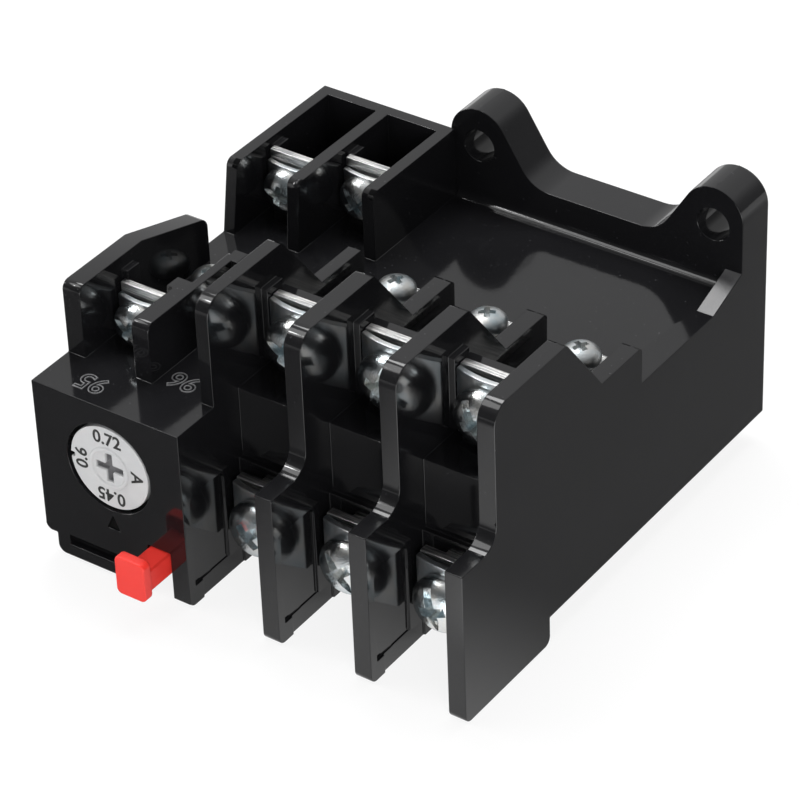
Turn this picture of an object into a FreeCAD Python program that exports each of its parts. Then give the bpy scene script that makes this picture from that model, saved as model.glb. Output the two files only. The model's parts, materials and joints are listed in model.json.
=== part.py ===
import FreeCAD, Part
import math
import os
import re
import Sketcher
from FreeCAD import Rotation, Vector

os.makedirs("parts", exist_ok=True)
doc = FreeCAD.newDocument("overload_relay")

# Driving dimensions, in millimetres and degrees. X runs across the poles from the left side,
# Y from the front to the mounting face, Z up from the feet of the barrier walls.
SIZES = {
    # housing
    "depth": 71.6, "body_bottom": 4.1, "deck_top": 27.2, "deck_skin": 2.5, "side_wall": 2.6,
    "rear_skin": 2.6, "floor_skin": 2.0, "front_skin": 2.5,
    # barrier walls and the channels between them
    "pitch": 14.2, "barrier": 2.6, "first_barrier": 2.0, "barrier_rise": 15.9, "ledge_drop": 4.2,
    "upper_front": 7.6, "peak_end": 23.4, "notch_start": 31.4, "notch_rise": 5.5, "tab_end": 40.7,
    "leg_end": 19.0, "toe_round": 1.2, "ledge_fillet": 3.0, "brow_round": 2.8, "peak_round": 0.8,
    "channel_foot": 11.9, "channel_step": 0.8, "foot_step": 16.8, "wire_recess": 0.4,
    "recess_front": 1.4, "recess_back": 8.6, "skirt_step": 0.25, "skirt_front": 3.0,
    "skirt_top": 2.9,
    # rear wall with its two mounting ears
    "rear_wall": 6.4, "ear_spacing": 36.4, "ear_side": 4.5, "ear_rise": 8.7, "ear_over": 5.6,
    "ear_round": 4.45, "ear_flank": 32.0, "saddle_rise": 4.8, "saddle_fillet": 5.0,
    "ear_bore": 2.4, "ramp_length": 13.5, "ramp_rise": 2.5,
    # front setting block
    "block_bottom": 0.6, "block_inset": 1.8, "block_step": 3.6, "block_skin": 2.4,
    "window_left": 3.9, "window_right": 14.6, "window_low": 2.4, "window_high": 4.0,
    "window_depth": 1.2, "mark_width": 2.2, "mark_low": 8.0, "mark_high": 10.2,
    "mark_depth": 0.6,
    # walls of the front auxiliary bays
    "fore_bay_wall": 2.8, "fore_bay_rise": 10.7, "fore_bay_slope": 20.6, "fore_bay_end": 34.2,
    "fore_bay_fall": 4.1, "fore_bay_round": 1.8, "divider_width": 2.6, "divider_step": 1.3,
    "divider_rise": 8.8, "divider_end": 27.0,
    "first_bay_clear": 0.45, "second_bay_clear": 0.25, "rib_depth": 2.4, "aux_rib": 1.0,
    # rear auxiliary bay box
    "rear_bay_rise": 10.45, "rear_bay_wall": 1.8, "rear_bay_front": 40.65, "rear_bay_lean": 1.9,
    "rear_bay_clear": 0.35, "rear_bay_mid_wall": 1.9, "rear_bay_mid_front": 41.75,
    "rear_bay_right_front": 45.6, "rear_bay_gap": 0.3,
    # main terminals
    "tab_width": 9.4, "tab_thick": 1.3, "tab_over": 0.2, "line_tab_back": 20.9,
    "load_tab_gap": 0.9, "load_screw_z": 10.6, "support_thick": 2.5, "support_drop": 1.0,
    "guide_start": 1.1, "guide_over": 1.0, "foot_width": 5.2, "foot_thick": 1.2, "foot_over": 2.4,
    "tail_width": 4.0, "tail_drop": 1.7, "tail_thick": 1.2, "tail_gap": 0.05, "pad_width": 6.0,
    "pad_below": 3.6,
    "main_head": 4.0, "main_head_height": 2.9, "main_shank": 2.0, "main_tip": 2.3,
    "main_cross": 4.4, "main_cross_width": 1.0, "main_cross_depth": 1.0, "tip_room": 0.6,
    "washer_height": 9.6, "washer_thick": 0.9, "washer_rise": 1.35, "washer_bend": 13.0,
    "washer_foot": 1.0, "washer_hole": 0.3,
    # auxiliary terminals
    "aux_tab_width": 7.3, "aux_tab_thick": 1.0, "aux_tab_rise": 4.4, "aux_head": 3.2,
    "aux_head_height": 2.4, "aux_shank": 1.6, "aux_tip": 2.0, "aux_cross": 3.6,
    "aux_cross_width": 0.8, "aux_cross_depth": 0.8, "aux_washer_height": 6.2,
    "aux_washer_thick": 0.8, "aux_washer_rise": 1.0, "aux_washer_bend": 11.0,
    "rear_aux_rise": 1.7, "aux_nc_back": 16.2, "aux_nc_step": 9.0, "aux_no_back": 50.2,
    "aux_no_step": 3.6, "aux_leg": 1.8, "aux_leg_inset": 0.5, "aux_leg_gap": 0.15,
    "contact_arm": 1.0, "arm_low": 16.0, "arm_height": 2.2, "run_low": 8.0, "run_height": 1.8,
    "open_gap": 2.6, "tip_round": 0.9, "tip_height": 0.3,
    # heater fixing screws, brackets, bimetals and windings
    "fixing_head": 2.7, "fixing_head_height": 2.2, "fixing_shank": 1.5, "fixing_cross": 3.0,
    "fixing_cross_width": 0.7, "fixing_cross_depth": 0.9, "flange_length": 8.0,
    "flange_width": 8.0, "flange_thick": 1.5, "leg_thick": 1.2, "leg_step": 0.5,
    "bracket_gap": 0.5, "strip_thick": 0.8, "strip_tall": 5.0, "strip_hang": 2.6,
    "strip_ahead": 3.5, "strip_over": 0.9, "winding_turns": 7, "winding_pitch": 1.7,
    "winding_wire": 0.9, "winding_gap": 0.6, "sleeve_wall": 0.6, "aux_fixing_x": 6.2,
    "aux_fixing_y": 29.8,
    # slides
    "slide_stand": 2.9, "slide_drop": 1.7, "slide_left": 9.0, "slide_end": 1.9,
    "slide_thick": 1.2, "slide_gap": 0.8, "slide_inset": 13.0, "slide_travel": 1.2,
    "slide_clear": 0.3, "slide_guide": 0.9, "hall_room": 0.9, "guide_drop": 3.2,
    "guide_stand": 4.4,
    # pivots, levers and contact bar
    "pin_radius": 0.8, "pin_seat": 1.1, "lever_pin_inset": 3.6, "lever_pin_back": 12.6,
    "bar_pin_inset": 6.3, "bar_pin_back": 20.6, "hub_radius": 1.8, "hub_stand": 3.9,
    "hub_under": 2.0, "hub_over": 1.4, "lever_thick": 1.0, "lever_tall": 6.0, "lever_ahead": 11.0,
    "lever_foot": 1.2, "lever_gap": 0.4, "setting_arm_gap": 2.6, "setting_arm_thick": 1.2,
    "setting_arm_width": 2.4, "arm_pad": 1.2, "arm_pad_drop": 1.5, "arm_shoulder": 1.5,
    "bar_thick": 1.6, "bar_reach": 16.5, "bridge_thick": 0.4, "bridge_width": 2.4,
    "bridge_low": 10.9, "bridge_high": 18.3, "rivet_proud": 0.8, "contact_reach": 15.0,
    # dial, cam and reset button
    "dial_x": 11.6, "dial_drop": 9.5, "dial_radius": 6.2, "dial_clear": 0.5, "dial_face": 0.2,
    "dial_thick": 1.6, "recess_depth": 2.0, "bearing_wall": 2.2, "bearing_drop": 2.0,
    "shaft_radius": 2.2, "shaft_end": 12.9, "hub_ring": 3.1, "hub_ring_wall": 0.45,
    "hub_proud": 0.2, "slot_width": 1.1, "slot_length": 4.4, "slot_depth": 0.9,
    "dial_notch": 0.6, "dial_notch_width": 0.7, "cam_radius": 3.2, "cam_throw": 0.8,
    "cam_front": 9.0, "cam_thick": 2.5,
    "button_inset": 1.95, "button_z": 5.95, "stem_size": 3.3, "stem_round": 0.3,
    "cap_width": 4.7, "cap_low": 3.95, "cap_high": 9.9, "cap_thick": 1.5, "cap_round": 0.8,
    "button_out": 6.1, "button_travel": 3.0, "rod_radius": 1.0, "shoulder_y": 6.0,
    "rod_rib": 14.0, "rod_rib_thick": 1.2, "finger_low": 6.6, "finger_high": 10.4,
    "finger_thick": 1.1, "finger_reach": 2.0, "spring_radius": 1.45, "spring_wire": 0.2,
    "spring_turns": 5,
    # base cover
    "cover_thick": 2.0, "boss_radius": 2.8, "boss_inset": 5.8, "boss_back": 5.6,
    "boss_ahead": 3.1, "cover_screw": 1.3, "cover_screw_head": 2.5, "cover_thread": 5.0,
    "cover_slot": 3.2, "cover_slot_width": 0.5, "cover_slot_depth": 0.7,
    # fits
    "fit": 0.1, "loose_fit": 0.2, "running_fit": 0.05, "gap": 0.3,
}

# Places and sizes that follow from them
DERIVED = {
    # across the poles
    "first_face": "fore_bay_wall + 2 * (aux_tab_width + first_bay_clear + second_bay_clear)"
                  " + divider_width + first_barrier",
    "width": "first_face + 3 * pitch",
    "mid": "width - ear_side - ear_spacing / 2",
    "partition": "first_face - side_wall",
    "divider_left": "fore_bay_wall + aux_tab_width + 2 * first_bay_clear",
    "rear_bay_mid": "rear_bay_wall + aux_tab_width + 2 * rear_bay_clear",
    "rear_bay_width": "2 * rear_bay_mid + rear_bay_mid_wall",
    "main_rib": "(pitch - barrier - tab_width) / 2 - fit",
    "washer_width": "tab_width",
    "aux_washer_width": "aux_tab_width - fit",
    "slide_right": "width - side_wall - slide_end",
    "lever_pin_x": "side_wall + lever_pin_inset",
    "bar_pin_x": "partition - bar_pin_inset",
    "contact_x": "bar_pin_x - bar_thick / 2 - rivet_proud - tip_height - contact_arm",
    "button_x": "partition - button_inset",
    # front to back
    "channel_back": "channel_foot + channel_step",
    "cavity_front": "channel_foot + front_skin",
    "load_tab_back": "channel_foot - load_tab_gap",
    "ramp_front": "depth - ramp_length",
    "rear_bay_back": "depth - rear_wall - rear_bay_gap",
    "slide_front": "depth - slide_inset",
    "slide_rear": "slide_front + 2 * slide_thick + slide_gap + slide_clear",
    "hall_front": "slide_front - slide_clear - slide_guide - hall_room",
    "winding_start": "hall_front - winding_turns * winding_pitch - winding_gap",
    "strip_end": "slide_rear + strip_over",
    "fixing_y": "winding_start - bracket_gap - flange_length / 2",
    "strip_start": "fixing_y - strip_ahead",
    "foot_end": "fixing_y + foot_over",
    "tail_end": "winding_start - tail_gap",
    "lever_pin_y": "slide_front - lever_pin_back",
    "bar_pin_y": "slide_front - bar_pin_back",
    "lever_front": "bar_pin_y - lever_ahead",
    "rod_end": "rod_rib + rod_rib_thick + fit + finger_thick",
    "finger_end": "rod_end + finger_reach",
    "cover_front": "rod_end + button_travel + fit",
    "boss_y": "depth - boss_back",
    "boss_front_y": "cover_front + boss_ahead",
    # heights
    "deck_low": "deck_top - deck_skin",
    "cover_top": "body_bottom + cover_thick",
    "ledge_top": "deck_top - ledge_drop",
    "barrier_top": "deck_top + barrier_rise",
    "tab_top": "deck_top + notch_rise",
    "ear_height": "deck_top + ear_rise",
    "ear_top": "ear_height + ear_over",
    "saddle_top": "deck_top + saddle_rise",
    "fore_bay_top": "deck_top + fore_bay_rise",
    "fore_bay_low": "fore_bay_top - fore_bay_fall",
    "divider_top": "deck_top + divider_rise",
    "rear_bay_top": "deck_top + rear_bay_rise",
    "line_screw_z": "deck_top + washer_foot + washer_height / 2",
    "line_tab_height": "line_screw_z + washer_height / 2 + tab_over",
    "support_top": "line_tab_height - support_drop",
    "guide_low": "deck_top + guide_start",
    "guide_high": "line_tab_height + guide_over",
    "fore_aux_z": "deck_top + aux_washer_height / 2 + fit",
    "rear_aux_z": "fore_aux_z + rear_aux_rise",
    "load_tab_low": "load_screw_z - washer_height / 2",
    "load_tab_high": "load_screw_z + washer_height / 2 + tab_over",
    "tail_low": "load_tab_high - tail_drop",
    "pad_low": "load_screw_z - pad_below",
    "pad_high": "tail_low - loose_fit",
    "strip_high": "deck_low - flange_thick - strip_hang",
    "strip_low": "strip_high - strip_tall",
    "slide_low": "cover_top + slide_stand",
    "slide_high": "deck_low - slide_drop",
    "hub_low": "cover_top + hub_stand",
    "lever_low": "hub_low + hub_under",
    "lever_high": "lever_low + lever_tall",
    "hub_high": "lever_high + hub_over",
    "setting_arm_low": "lever_high + setting_arm_gap",
    "dial_z": "deck_top - dial_drop",
    # how far pads reach into one another and cuts run past a face, where nothing shows it
    "lap": "1",
}

dims = doc.addObject("Spreadsheet::Sheet", "dims")
for row, (name, value) in enumerate(SIZES.items(), 1):
    dims.set("A%d" % row, name)
    dims.set("B%d" % row, str(value))
    dims.setAlias("B%d" % row, name)
doc.recompute()


def bound(text):
    """An expression on the sheet, from a formula that names its cells and derived sizes."""
    def cell(word):
        name = word[0]
        if name in DERIVED:
            return "(%s)" % bound(DERIVED[name])
        return "dims." + name if name in SIZES else name
    return re.sub(r"[a-z_]+", cell, str(text))


def size(text):
    """The present value of such a formula."""
    value = dims.evalExpression(bound(text))
    return float(getattr(value, "Value", value))


def face_x(pole):
    """Right face of the barrier wall on the left of a pole, 0 to 2."""
    return "(width - %d * pitch)" % (3 - pole)


def pole_x(pole):
    """Middle of a pole's channel."""
    return "(width - %d * pitch + (pitch - barrier) / 2)" % (3 - pole)


def new_body(name):
    """A body whose place puts the origin midway between the ear bores on the mounting face."""
    body = doc.addObject("PartDesign::Body", name)
    body.Label = name
    body.AllowCompound = True
    body.setExpression("Placement.Base.x", bound("-mid"))
    body.setExpression("Placement.Base.y", bound("-depth"))
    body.setExpression("Placement.Base.z", bound("-ear_height"))
    return body


def sketch_on(body, plane, level, origin=("0", "0")):
    """An empty sketch on an origin plane, moved to a level along X, Y or Z."""
    support = [one for one in body.Origin.OriginFeatures if one.Role == plane + "_Plane"][0]
    sketch = body.newObject("Sketcher::SketchObject", body.Name + "_sketch")
    sketch.AttachmentSupport = [(support, "")]
    sketch.MapMode = "FlatFace"
    along = "-(%s)" % level if plane == "XZ" else str(level)
    sketch.setExpression("AttachmentOffset.Base.x", bound(origin[0]))
    sketch.setExpression("AttachmentOffset.Base.y", bound(origin[1]))
    sketch.setExpression("AttachmentOffset.Base.z", bound(along))
    return sketch


def tie(sketch, kind, refs, formula):
    """A dimension of the sketch, driven by a formula."""
    index = sketch.addConstraint(Sketcher.Constraint(kind, *refs, size(formula)))
    sketch.setExpression("Constraints[%d]" % index, bound(formula))


def draw_loop(sketch, corners):
    """A closed outline. Each corner is (u, v) or (u, v, radius), the radius rounding it."""
    spots = [Vector(size(c[0]), size(c[1]), 0) for c in corners]
    radii = [size(c[2]) if len(c) > 2 else 0.0 for c in corners]
    count = len(corners)
    starts, ends, arcs, near = list(spots), list(spots), {}, {}
    for i in range(count):
        if not radii[i]:
            continue
        before = (spots[i - 1] - spots[i]).normalize()
        after = (spots[(i + 1) % count] - spots[i]).normalize()
        half = before.getAngle(after) / 2
        reach = radii[i] / math.tan(half)
        ends[i] = spots[i] + before * reach
        starts[i] = spots[i] + after * reach
        centre = spots[i] + (before + after).normalize() * (radii[i] / math.sin(half))
        turns = [math.atan2(end.y - centre.y, end.x - centre.x) for end in (ends[i], starts[i])]
        forward = (turns[1] - turns[0]) % (2 * math.pi) < math.pi
        near[i] = 1 if forward else 2
        low, high = turns if forward else turns[::-1]
        ring = Part.Circle(centre, Vector(0, 0, 1), radii[i])
        arcs[i] = Part.ArcOfCircle(ring, low, low + (high - low) % (2 * math.pi))
    lines = [sketch.addGeometry(Part.LineSegment(starts[i], ends[(i + 1) % count]), False)
             for i in range(count)]
    for i in range(count):
        into, out = lines[i - 1], lines[i]
        if i not in arcs:
            sketch.addConstraint(Sketcher.Constraint("Coincident", into, 2, out, 1))
            tie(sketch, "DistanceX", (-1, 1, out, 1), corners[i][0])
            tie(sketch, "DistanceY", (-1, 1, out, 1), corners[i][1])
            continue
        arc = sketch.addGeometry(arcs[i], False)
        corner = sketch.addGeometry(Part.Point(spots[i]), True)
        sketch.addConstraint(Sketcher.Constraint("Tangent", into, 2, arc, near[i]))
        sketch.addConstraint(Sketcher.Constraint("Tangent", out, 1, arc, 3 - near[i]))
        sketch.addConstraint(Sketcher.Constraint("PointOnObject", corner, 1, into))
        sketch.addConstraint(Sketcher.Constraint("PointOnObject", corner, 1, out))
        tie(sketch, "DistanceX", (-1, 1, corner, 1), corners[i][0])
        tie(sketch, "DistanceY", (-1, 1, corner, 1), corners[i][1])
        tie(sketch, "Radius", (arc,), corners[i][2])


def draw_circle(sketch, middle_u, middle_v, radius):
    ring = Part.Circle(Vector(size(middle_u), size(middle_v), 0), Vector(0, 0, 1), size(radius))
    index = sketch.addGeometry(ring, False)
    tie(sketch, "DistanceX", (-1, 1, index, 3), middle_u)
    tie(sketch, "DistanceY", (-1, 1, index, 3), middle_v)
    tie(sketch, "Radius", (index,), radius)


def draw(sketch, shapes):
    """Outlines and circles; a circle is (\"circle\", u, v, radius)."""
    for shape in shapes:
        if shape[0] == "circle":
            draw_circle(sketch, *shape[1:])
        else:
            draw_loop(sketch, shape)


def rect(left, right, low, high, radius=None):
    """A rectangle outline, with all four corners rounded if a radius is given."""
    corners = [(left, low), (right, low), (right, high), (left, high)]
    return [corner + (radius,) for corner in corners] if radius else corners


def pad(body, plane, start, end, *shapes):
    """Adds material between two levels of X, Y or Z."""
    sketch = sketch_on(body, plane, end if plane == "XZ" else start)
    draw(sketch, shapes)
    feature = body.newObject("PartDesign::Pad", body.Name + "_pad")
    feature.Profile = (sketch, [""])
    feature.Refine = False
    feature.setExpression("Length", bound("(%s) - (%s)" % (end, start)))
    return feature


def pocket(body, plane, start, end, *shapes):
    """Removes material between two levels of X, Y or Z."""
    sketch = sketch_on(body, plane, start if plane == "XZ" else end)
    draw(sketch, shapes)
    feature = body.newObject("PartDesign::Pocket", body.Name + "_pocket")
    feature.Profile = (sketch, [""])
    feature.Refine = False
    feature.setExpression("Length", bound("(%s) - (%s)" % (end, start)))
    return feature


def turn(body, plane, level, axis_at, axis, corners):
    """Revolves a profile about an axis of the plane; the profile starts from axis_at."""
    sketch = sketch_on(body, plane, level, axis_at)
    draw_loop(sketch, corners)
    feature = body.newObject("PartDesign::Revolution", body.Name + "_turn")
    feature.Profile = (sketch, [""])
    feature.Refine = False
    feature.ReferenceAxis = (sketch, [axis])
    feature.Angle = 360.0
    return feature


def combine(kind, name, base, tool):
    whole = doc.addObject(kind, name)
    whole.Label = name
    whole.Base = base
    whole.Tool = tool
    return whole


# Housing: the black moulding that carries everything
def make_housing():
    body = new_body("housing_solid")
    pad(body, "XY", "body_bottom", "deck_top",
        rect("0", "width", "channel_back", "depth"))
    pad(body, "YZ", "first_face", "width",
        rect("channel_foot", "channel_back + lap", "body_bottom", "foot_step"))
    pad(body, "XZ", "0", "channel_back + lap",
        [("0", "block_step", "toe_round"), ("block_inset", "block_step"),
         ("block_inset", "block_bottom", "toe_round"), ("first_face", "block_bottom"),
         ("first_face", "deck_top"), ("0", "deck_top")])

    for number in range(4):
        right = "width - %d * pitch" % (3 - number)
        thick = "first_barrier" if number == 0 else "barrier"
        pad(body, "YZ", "%s - %s" % (right, thick), right,
            [("0", "0", "toe_round"), ("0", "ledge_top"),
             ("upper_front", "ledge_top", "ledge_fillet"),
             ("upper_front", "barrier_top", "brow_round"),
             ("peak_end", "barrier_top", "peak_round"), ("notch_start", "tab_top"),
             ("tab_end", "tab_top", "peak_round"), ("tab_end", "deck_top - lap"),
             ("leg_end", "deck_top - lap"), ("leg_end", "0", "toe_round")])

    left_ear = "(width - ear_side - ear_spacing)"
    right_ear = "(width - ear_side)"
    ear_reach = "ear_round * (1 - sin(ear_flank)) / cos(ear_flank)"
    slope_run = "(ear_top - saddle_top) * tan(ear_flank)"
    pad(body, "XZ", "depth - rear_wall", "depth",
        [("%s - ear_side" % left_ear, "deck_top - lap"),
         ("%s - ear_side" % left_ear, "ear_top", "ear_round"),
         ("%s + %s" % (left_ear, ear_reach), "ear_top", "ear_round"),
         ("%s + %s + %s" % (left_ear, ear_reach, slope_run), "saddle_top", "saddle_fillet"),
         ("%s - %s - %s" % (right_ear, ear_reach, slope_run), "saddle_top", "saddle_fillet"),
         ("%s - %s" % (right_ear, ear_reach), "ear_top", "ear_round"),
         ("width", "ear_top", "ear_round"), ("width", "deck_top - lap")])
    pad(body, "YZ", "width - barrier", "width",
        [("ramp_front", "deck_top"), ("ramp_front", "deck_top - lap"),
         ("depth - lap", "deck_top - lap"), ("depth - lap", "deck_top + ramp_rise"),
         ("depth - rear_wall", "deck_top + ramp_rise")])

    pad(body, "YZ", "0", "fore_bay_wall",
        [("upper_front", "deck_top - lap"), ("upper_front", "fore_bay_top", "toe_round"),
         ("fore_bay_slope", "fore_bay_top"), ("fore_bay_end", "fore_bay_low", "fore_bay_round"),
         ("fore_bay_end", "deck_top - lap")])
    pad(body, "YZ", "divider_left", "divider_left + divider_width",
        [("upper_front", "deck_top - lap"), ("upper_front", "divider_top", "toe_round"),
         ("aux_nc_back + rib_depth", "divider_top"), ("aux_nc_back + rib_depth", "deck_top - lap")])
    pad(body, "YZ", "divider_left + divider_step", "divider_left + divider_width",
        [("aux_nc_back", "deck_top - lap"), ("aux_nc_back", "divider_top"),
         ("divider_end", "divider_top", "peak_round"), ("divider_end", "deck_top - lap")])
    pad(body, "XZ", "aux_nc_back", "aux_nc_back + rib_depth",
        rect("fore_bay_wall - lap", "fore_bay_wall + aux_rib", "deck_top - lap", "divider_top"),
        rect("divider_left - aux_rib", "divider_left + lap", "deck_top - lap", "divider_top"))
    pad(body, "XZ", "aux_nc_back + aux_nc_step", "aux_nc_back + aux_nc_step + rib_depth",
        rect("divider_left + divider_width - lap", "divider_left + divider_width + aux_rib",
             "deck_top - lap", "divider_top"),
        rect("first_face - first_barrier - aux_rib", "first_face - lap",
             "deck_top - lap", "divider_top"))

    lean_back = "+ rear_bay_lean"
    pad(body, "YZ", "0", "rear_bay_wall",
        [("rear_bay_front", "deck_top - lap"),
         ("rear_bay_front %s" % lean_back, "rear_bay_top", "toe_round"),
         ("rear_bay_back", "rear_bay_top"), ("rear_bay_back", "deck_top - lap")])
    pad(body, "YZ", "rear_bay_mid", "rear_bay_mid + rear_bay_mid_wall",
        [("rear_bay_mid_front", "deck_top - lap"),
         ("rear_bay_mid_front + rear_bay_lean / 2", "rear_bay_top", "toe_round"),
         ("rear_bay_back", "rear_bay_top"), ("rear_bay_back", "deck_top - lap")])
    pad(body, "YZ", "rear_bay_width - rear_bay_wall", "rear_bay_width",
        [("rear_bay_right_front", "deck_top - lap"),
         ("rear_bay_right_front", "rear_bay_top", "toe_round"),
         ("rear_bay_back", "rear_bay_top"), ("rear_bay_back", "deck_top - lap")])
    pad(body, "XZ", "rear_bay_back - rear_bay_wall", "rear_bay_back",
        rect("0", "rear_bay_width", "deck_top - lap", "rear_bay_top"))
    for number in range(2):
        back = "aux_no_back + %d * aux_no_step" % number
        left = ("rear_bay_wall", "rear_bay_mid + rear_bay_mid_wall")[number]
        right = ("rear_bay_mid", "rear_bay_width - rear_bay_wall")[number]
        pad(body, "XZ", back, back + " + rib_depth",
            rect(left + " - lap", left + " + aux_rib", "deck_top - lap",
                 "rear_aux_z + aux_tab_rise"),
            rect(right + " - aux_rib", right + " + lap", "deck_top - lap",
                 "rear_aux_z + aux_tab_rise"))

    for pole in range(3):
        left = face_x(pole)
        right = "(%s + pitch - barrier)" % left
        pad(body, "XZ", "line_tab_back", "line_tab_back + support_thick",
            rect(left + " - lap", right + " + lap", "deck_top - lap", "support_top"))
        pad(body, "XZ", "line_tab_back - tab_thick - lap", "line_tab_back + lap",
            rect(left + " - lap", left + " + main_rib", "guide_low", "guide_high"),
            rect(right + " - main_rib", right + " + lap", "guide_low", "guide_high"))
        middle = pole_x(pole)
        pad(body, "XZ", "load_tab_back", "channel_foot + lap",
            rect(middle + " - pad_width / 2", middle + " + pad_width / 2", "pad_low", "pad_high"))

    shell = combine("Part::Cut", "housing_shell", body, make_hollow())
    full = combine("Part::Fuse", "housing_full", shell, make_inner_walls())
    combine("Part::Cut", "housing", full, make_bores())


def make_hollow():
    """The space for the mechanism: two compartments, the slide hall and the cover's seat."""
    body = new_body("housing_hollow")
    pad(body, "XY", "block_bottom + floor_skin", "deck_low",
           rect("side_wall", "partition", "block_skin", "cover_front - loose_fit"))
    pad(body, "XY", "cover_top", "deck_low",
           rect("side_wall", "partition", "cover_front - lap", "hall_front + lap"))
    pad(body, "XY", "cover_top", "deck_low",
           rect("first_face", "width - side_wall", "cavity_front", "hall_front + lap"))
    pad(body, "XY", "cover_top", "deck_low",
           rect("side_wall", "width - side_wall", "hall_front", "depth - rear_skin"))
    pad(body, "XY", "body_bottom - lap", "cover_top",
           rect("side_wall", "width - side_wall", "cover_front - loose_fit",
                "depth - rear_skin"))
    return body


def make_inner_walls():
    """Bearing wall, rod rib, screw bosses and slide guides inside the hollow."""
    body = new_body("housing_inner")
    pad(body, "XZ", "block_skin - lap", "recess_depth + bearing_wall",
        rect("side_wall - lap", "partition + lap",
             "dial_z - dial_radius - bearing_drop", "deck_low + lap"))
    pad(body, "XZ", "rod_rib", "rod_rib + rod_rib_thick",
        rect("button_x - stem_size", "partition + lap", "block_bottom + lap",
             "button_z + stem_size"))
    pad(body, "XY", "cover_top", "deck_low + lap",
        ("circle", "boss_inset", "boss_y", "boss_radius"),
        ("circle", "width - boss_inset", "boss_y", "boss_radius"),
        ("circle", "width - 2 * pitch - barrier / 2", "boss_front_y", "boss_radius"))
    pad(body, "XY", "setting_arm_low + setting_arm_thick + fit", "deck_low + lap",
        ("circle", "lever_pin_x", "lever_pin_y", "hub_radius"))
    pad(body, "XY", "hub_high + fit", "deck_low + lap",
        ("circle", "bar_pin_x", "bar_pin_y", "hub_radius"))
    pad(body, "XY", "deck_low - guide_drop", "deck_low + lap",
        rect("first_face", "width - side_wall + lap", "slide_front - slide_clear - slide_guide",
             "slide_front - slide_clear"),
        rect("first_face", "width - side_wall + lap", "slide_rear", "slide_rear + slide_guide"))
    return body


def make_bores():
    """Holes, slots and recesses of the housing."""
    body = new_body("housing_bores")
    pad(body, "XZ", "depth - rear_wall - lap", "depth + lap",
           ("circle", "width - ear_side - ear_spacing", "ear_height", "ear_bore"),
           ("circle", "width - ear_side", "ear_height", "ear_bore"))
    pad(body, "XZ", "-lap", "recess_depth",
           ("circle", "dial_x", "dial_z", "dial_radius + dial_clear"))
    pad(body, "XZ", "0", "recess_depth + bearing_wall + lap",
           ("circle", "dial_x", "dial_z", "shaft_radius + fit"))
    reach = "(stem_size / 2 + loose_fit)"
    pad(body, "XZ", "-lap", "shoulder_y",
           rect("button_x - " + reach, "button_x + " + reach, "-lap", "button_z + " + reach))
    pad(body, "XZ", "rod_rib - lap", "rod_rib + rod_rib_thick + lap",
           ("circle", "button_x", "button_z", "rod_radius + fit"))
    pad(body, "XZ", "-lap", "window_depth",
           rect("window_left", "window_right", "window_low", "window_high"))
    pad(body, "XZ", "-lap", "mark_depth",
           [("dial_x - mark_width / 2", "mark_low"), ("dial_x + mark_width / 2", "mark_low"),
            ("dial_x", "mark_high")])

    holes = [("circle", pole_x(pole), "fixing_y", "fixing_shank + fit") for pole in range(3)]
    holes.append(("circle", "aux_fixing_x", "aux_fixing_y", "fixing_shank + fit"))
    pad(body, "XY", "deck_low - lap", "deck_top + lap", *holes)
    slots = []
    for name in AUX:
        left, right, low, high = leg_box(name)
        slots.append(rect(left + " - fit", right + " + fit", low + " - fit", high + " + fit"))
    pad(body, "XY", "deck_low - lap", "deck_top + lap", *slots)
    pins = [("circle", "lever_pin_x", "lever_pin_y", "pin_radius + running_fit"),
            ("circle", "bar_pin_x", "bar_pin_y", "pin_radius + running_fit")]
    pad(body, "XY", "hub_high", "deck_low + pin_seat + fit", *pins)

    for pole in range(3):
        middle = pole_x(pole)
        pad(body, "XZ", "line_tab_back - lap", "line_tab_back + support_thick + lap",
               ("circle", middle, "line_screw_z", "main_shank + tip_room"),
               rect(middle + " - foot_width / 2 - fit", middle + " + foot_width / 2 + fit",
                    "deck_top", "deck_top + foot_thick + fit"))
        pad(body, "XZ", "load_tab_back - lap", "cavity_front + lap",
               ("circle", middle, "load_screw_z", "main_shank + tip_room"),
               rect(middle + " - tail_width / 2 - fit", middle + " + tail_width / 2 + fit",
                    "tail_low - fit", "tail_low + tail_thick + fit"))
        left = face_x(pole)
        right = "(%s + pitch - barrier)" % left
        wire_space = [("recess_front", "skirt_top"), ("recess_front", "foot_step", "toe_round"),
                      ("recess_back", "foot_step", "toe_round"), ("recess_back", "skirt_top")]
        pad(body, "YZ", left + " - wire_recess", left, wire_space)
        pad(body, "YZ", right, right + " + wire_recess", wire_space)
        skirt = rect("skirt_front", "channel_foot - fit", "-lap", "skirt_top")
        pad(body, "YZ", left + " - skirt_step", left, skirt)
        pad(body, "YZ", right, right + " + skirt_step", skirt)

    pad(body, "XY", "cover_top", "cover_top + cover_thread + lap",
           ("circle", "boss_inset", "boss_y", "cover_screw + running_fit"),
           ("circle", "width - boss_inset", "boss_y", "cover_screw + running_fit"),
           ("circle", "width - 2 * pitch - barrier / 2", "boss_front_y",
            "cover_screw + running_fit"))
    return body


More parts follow.
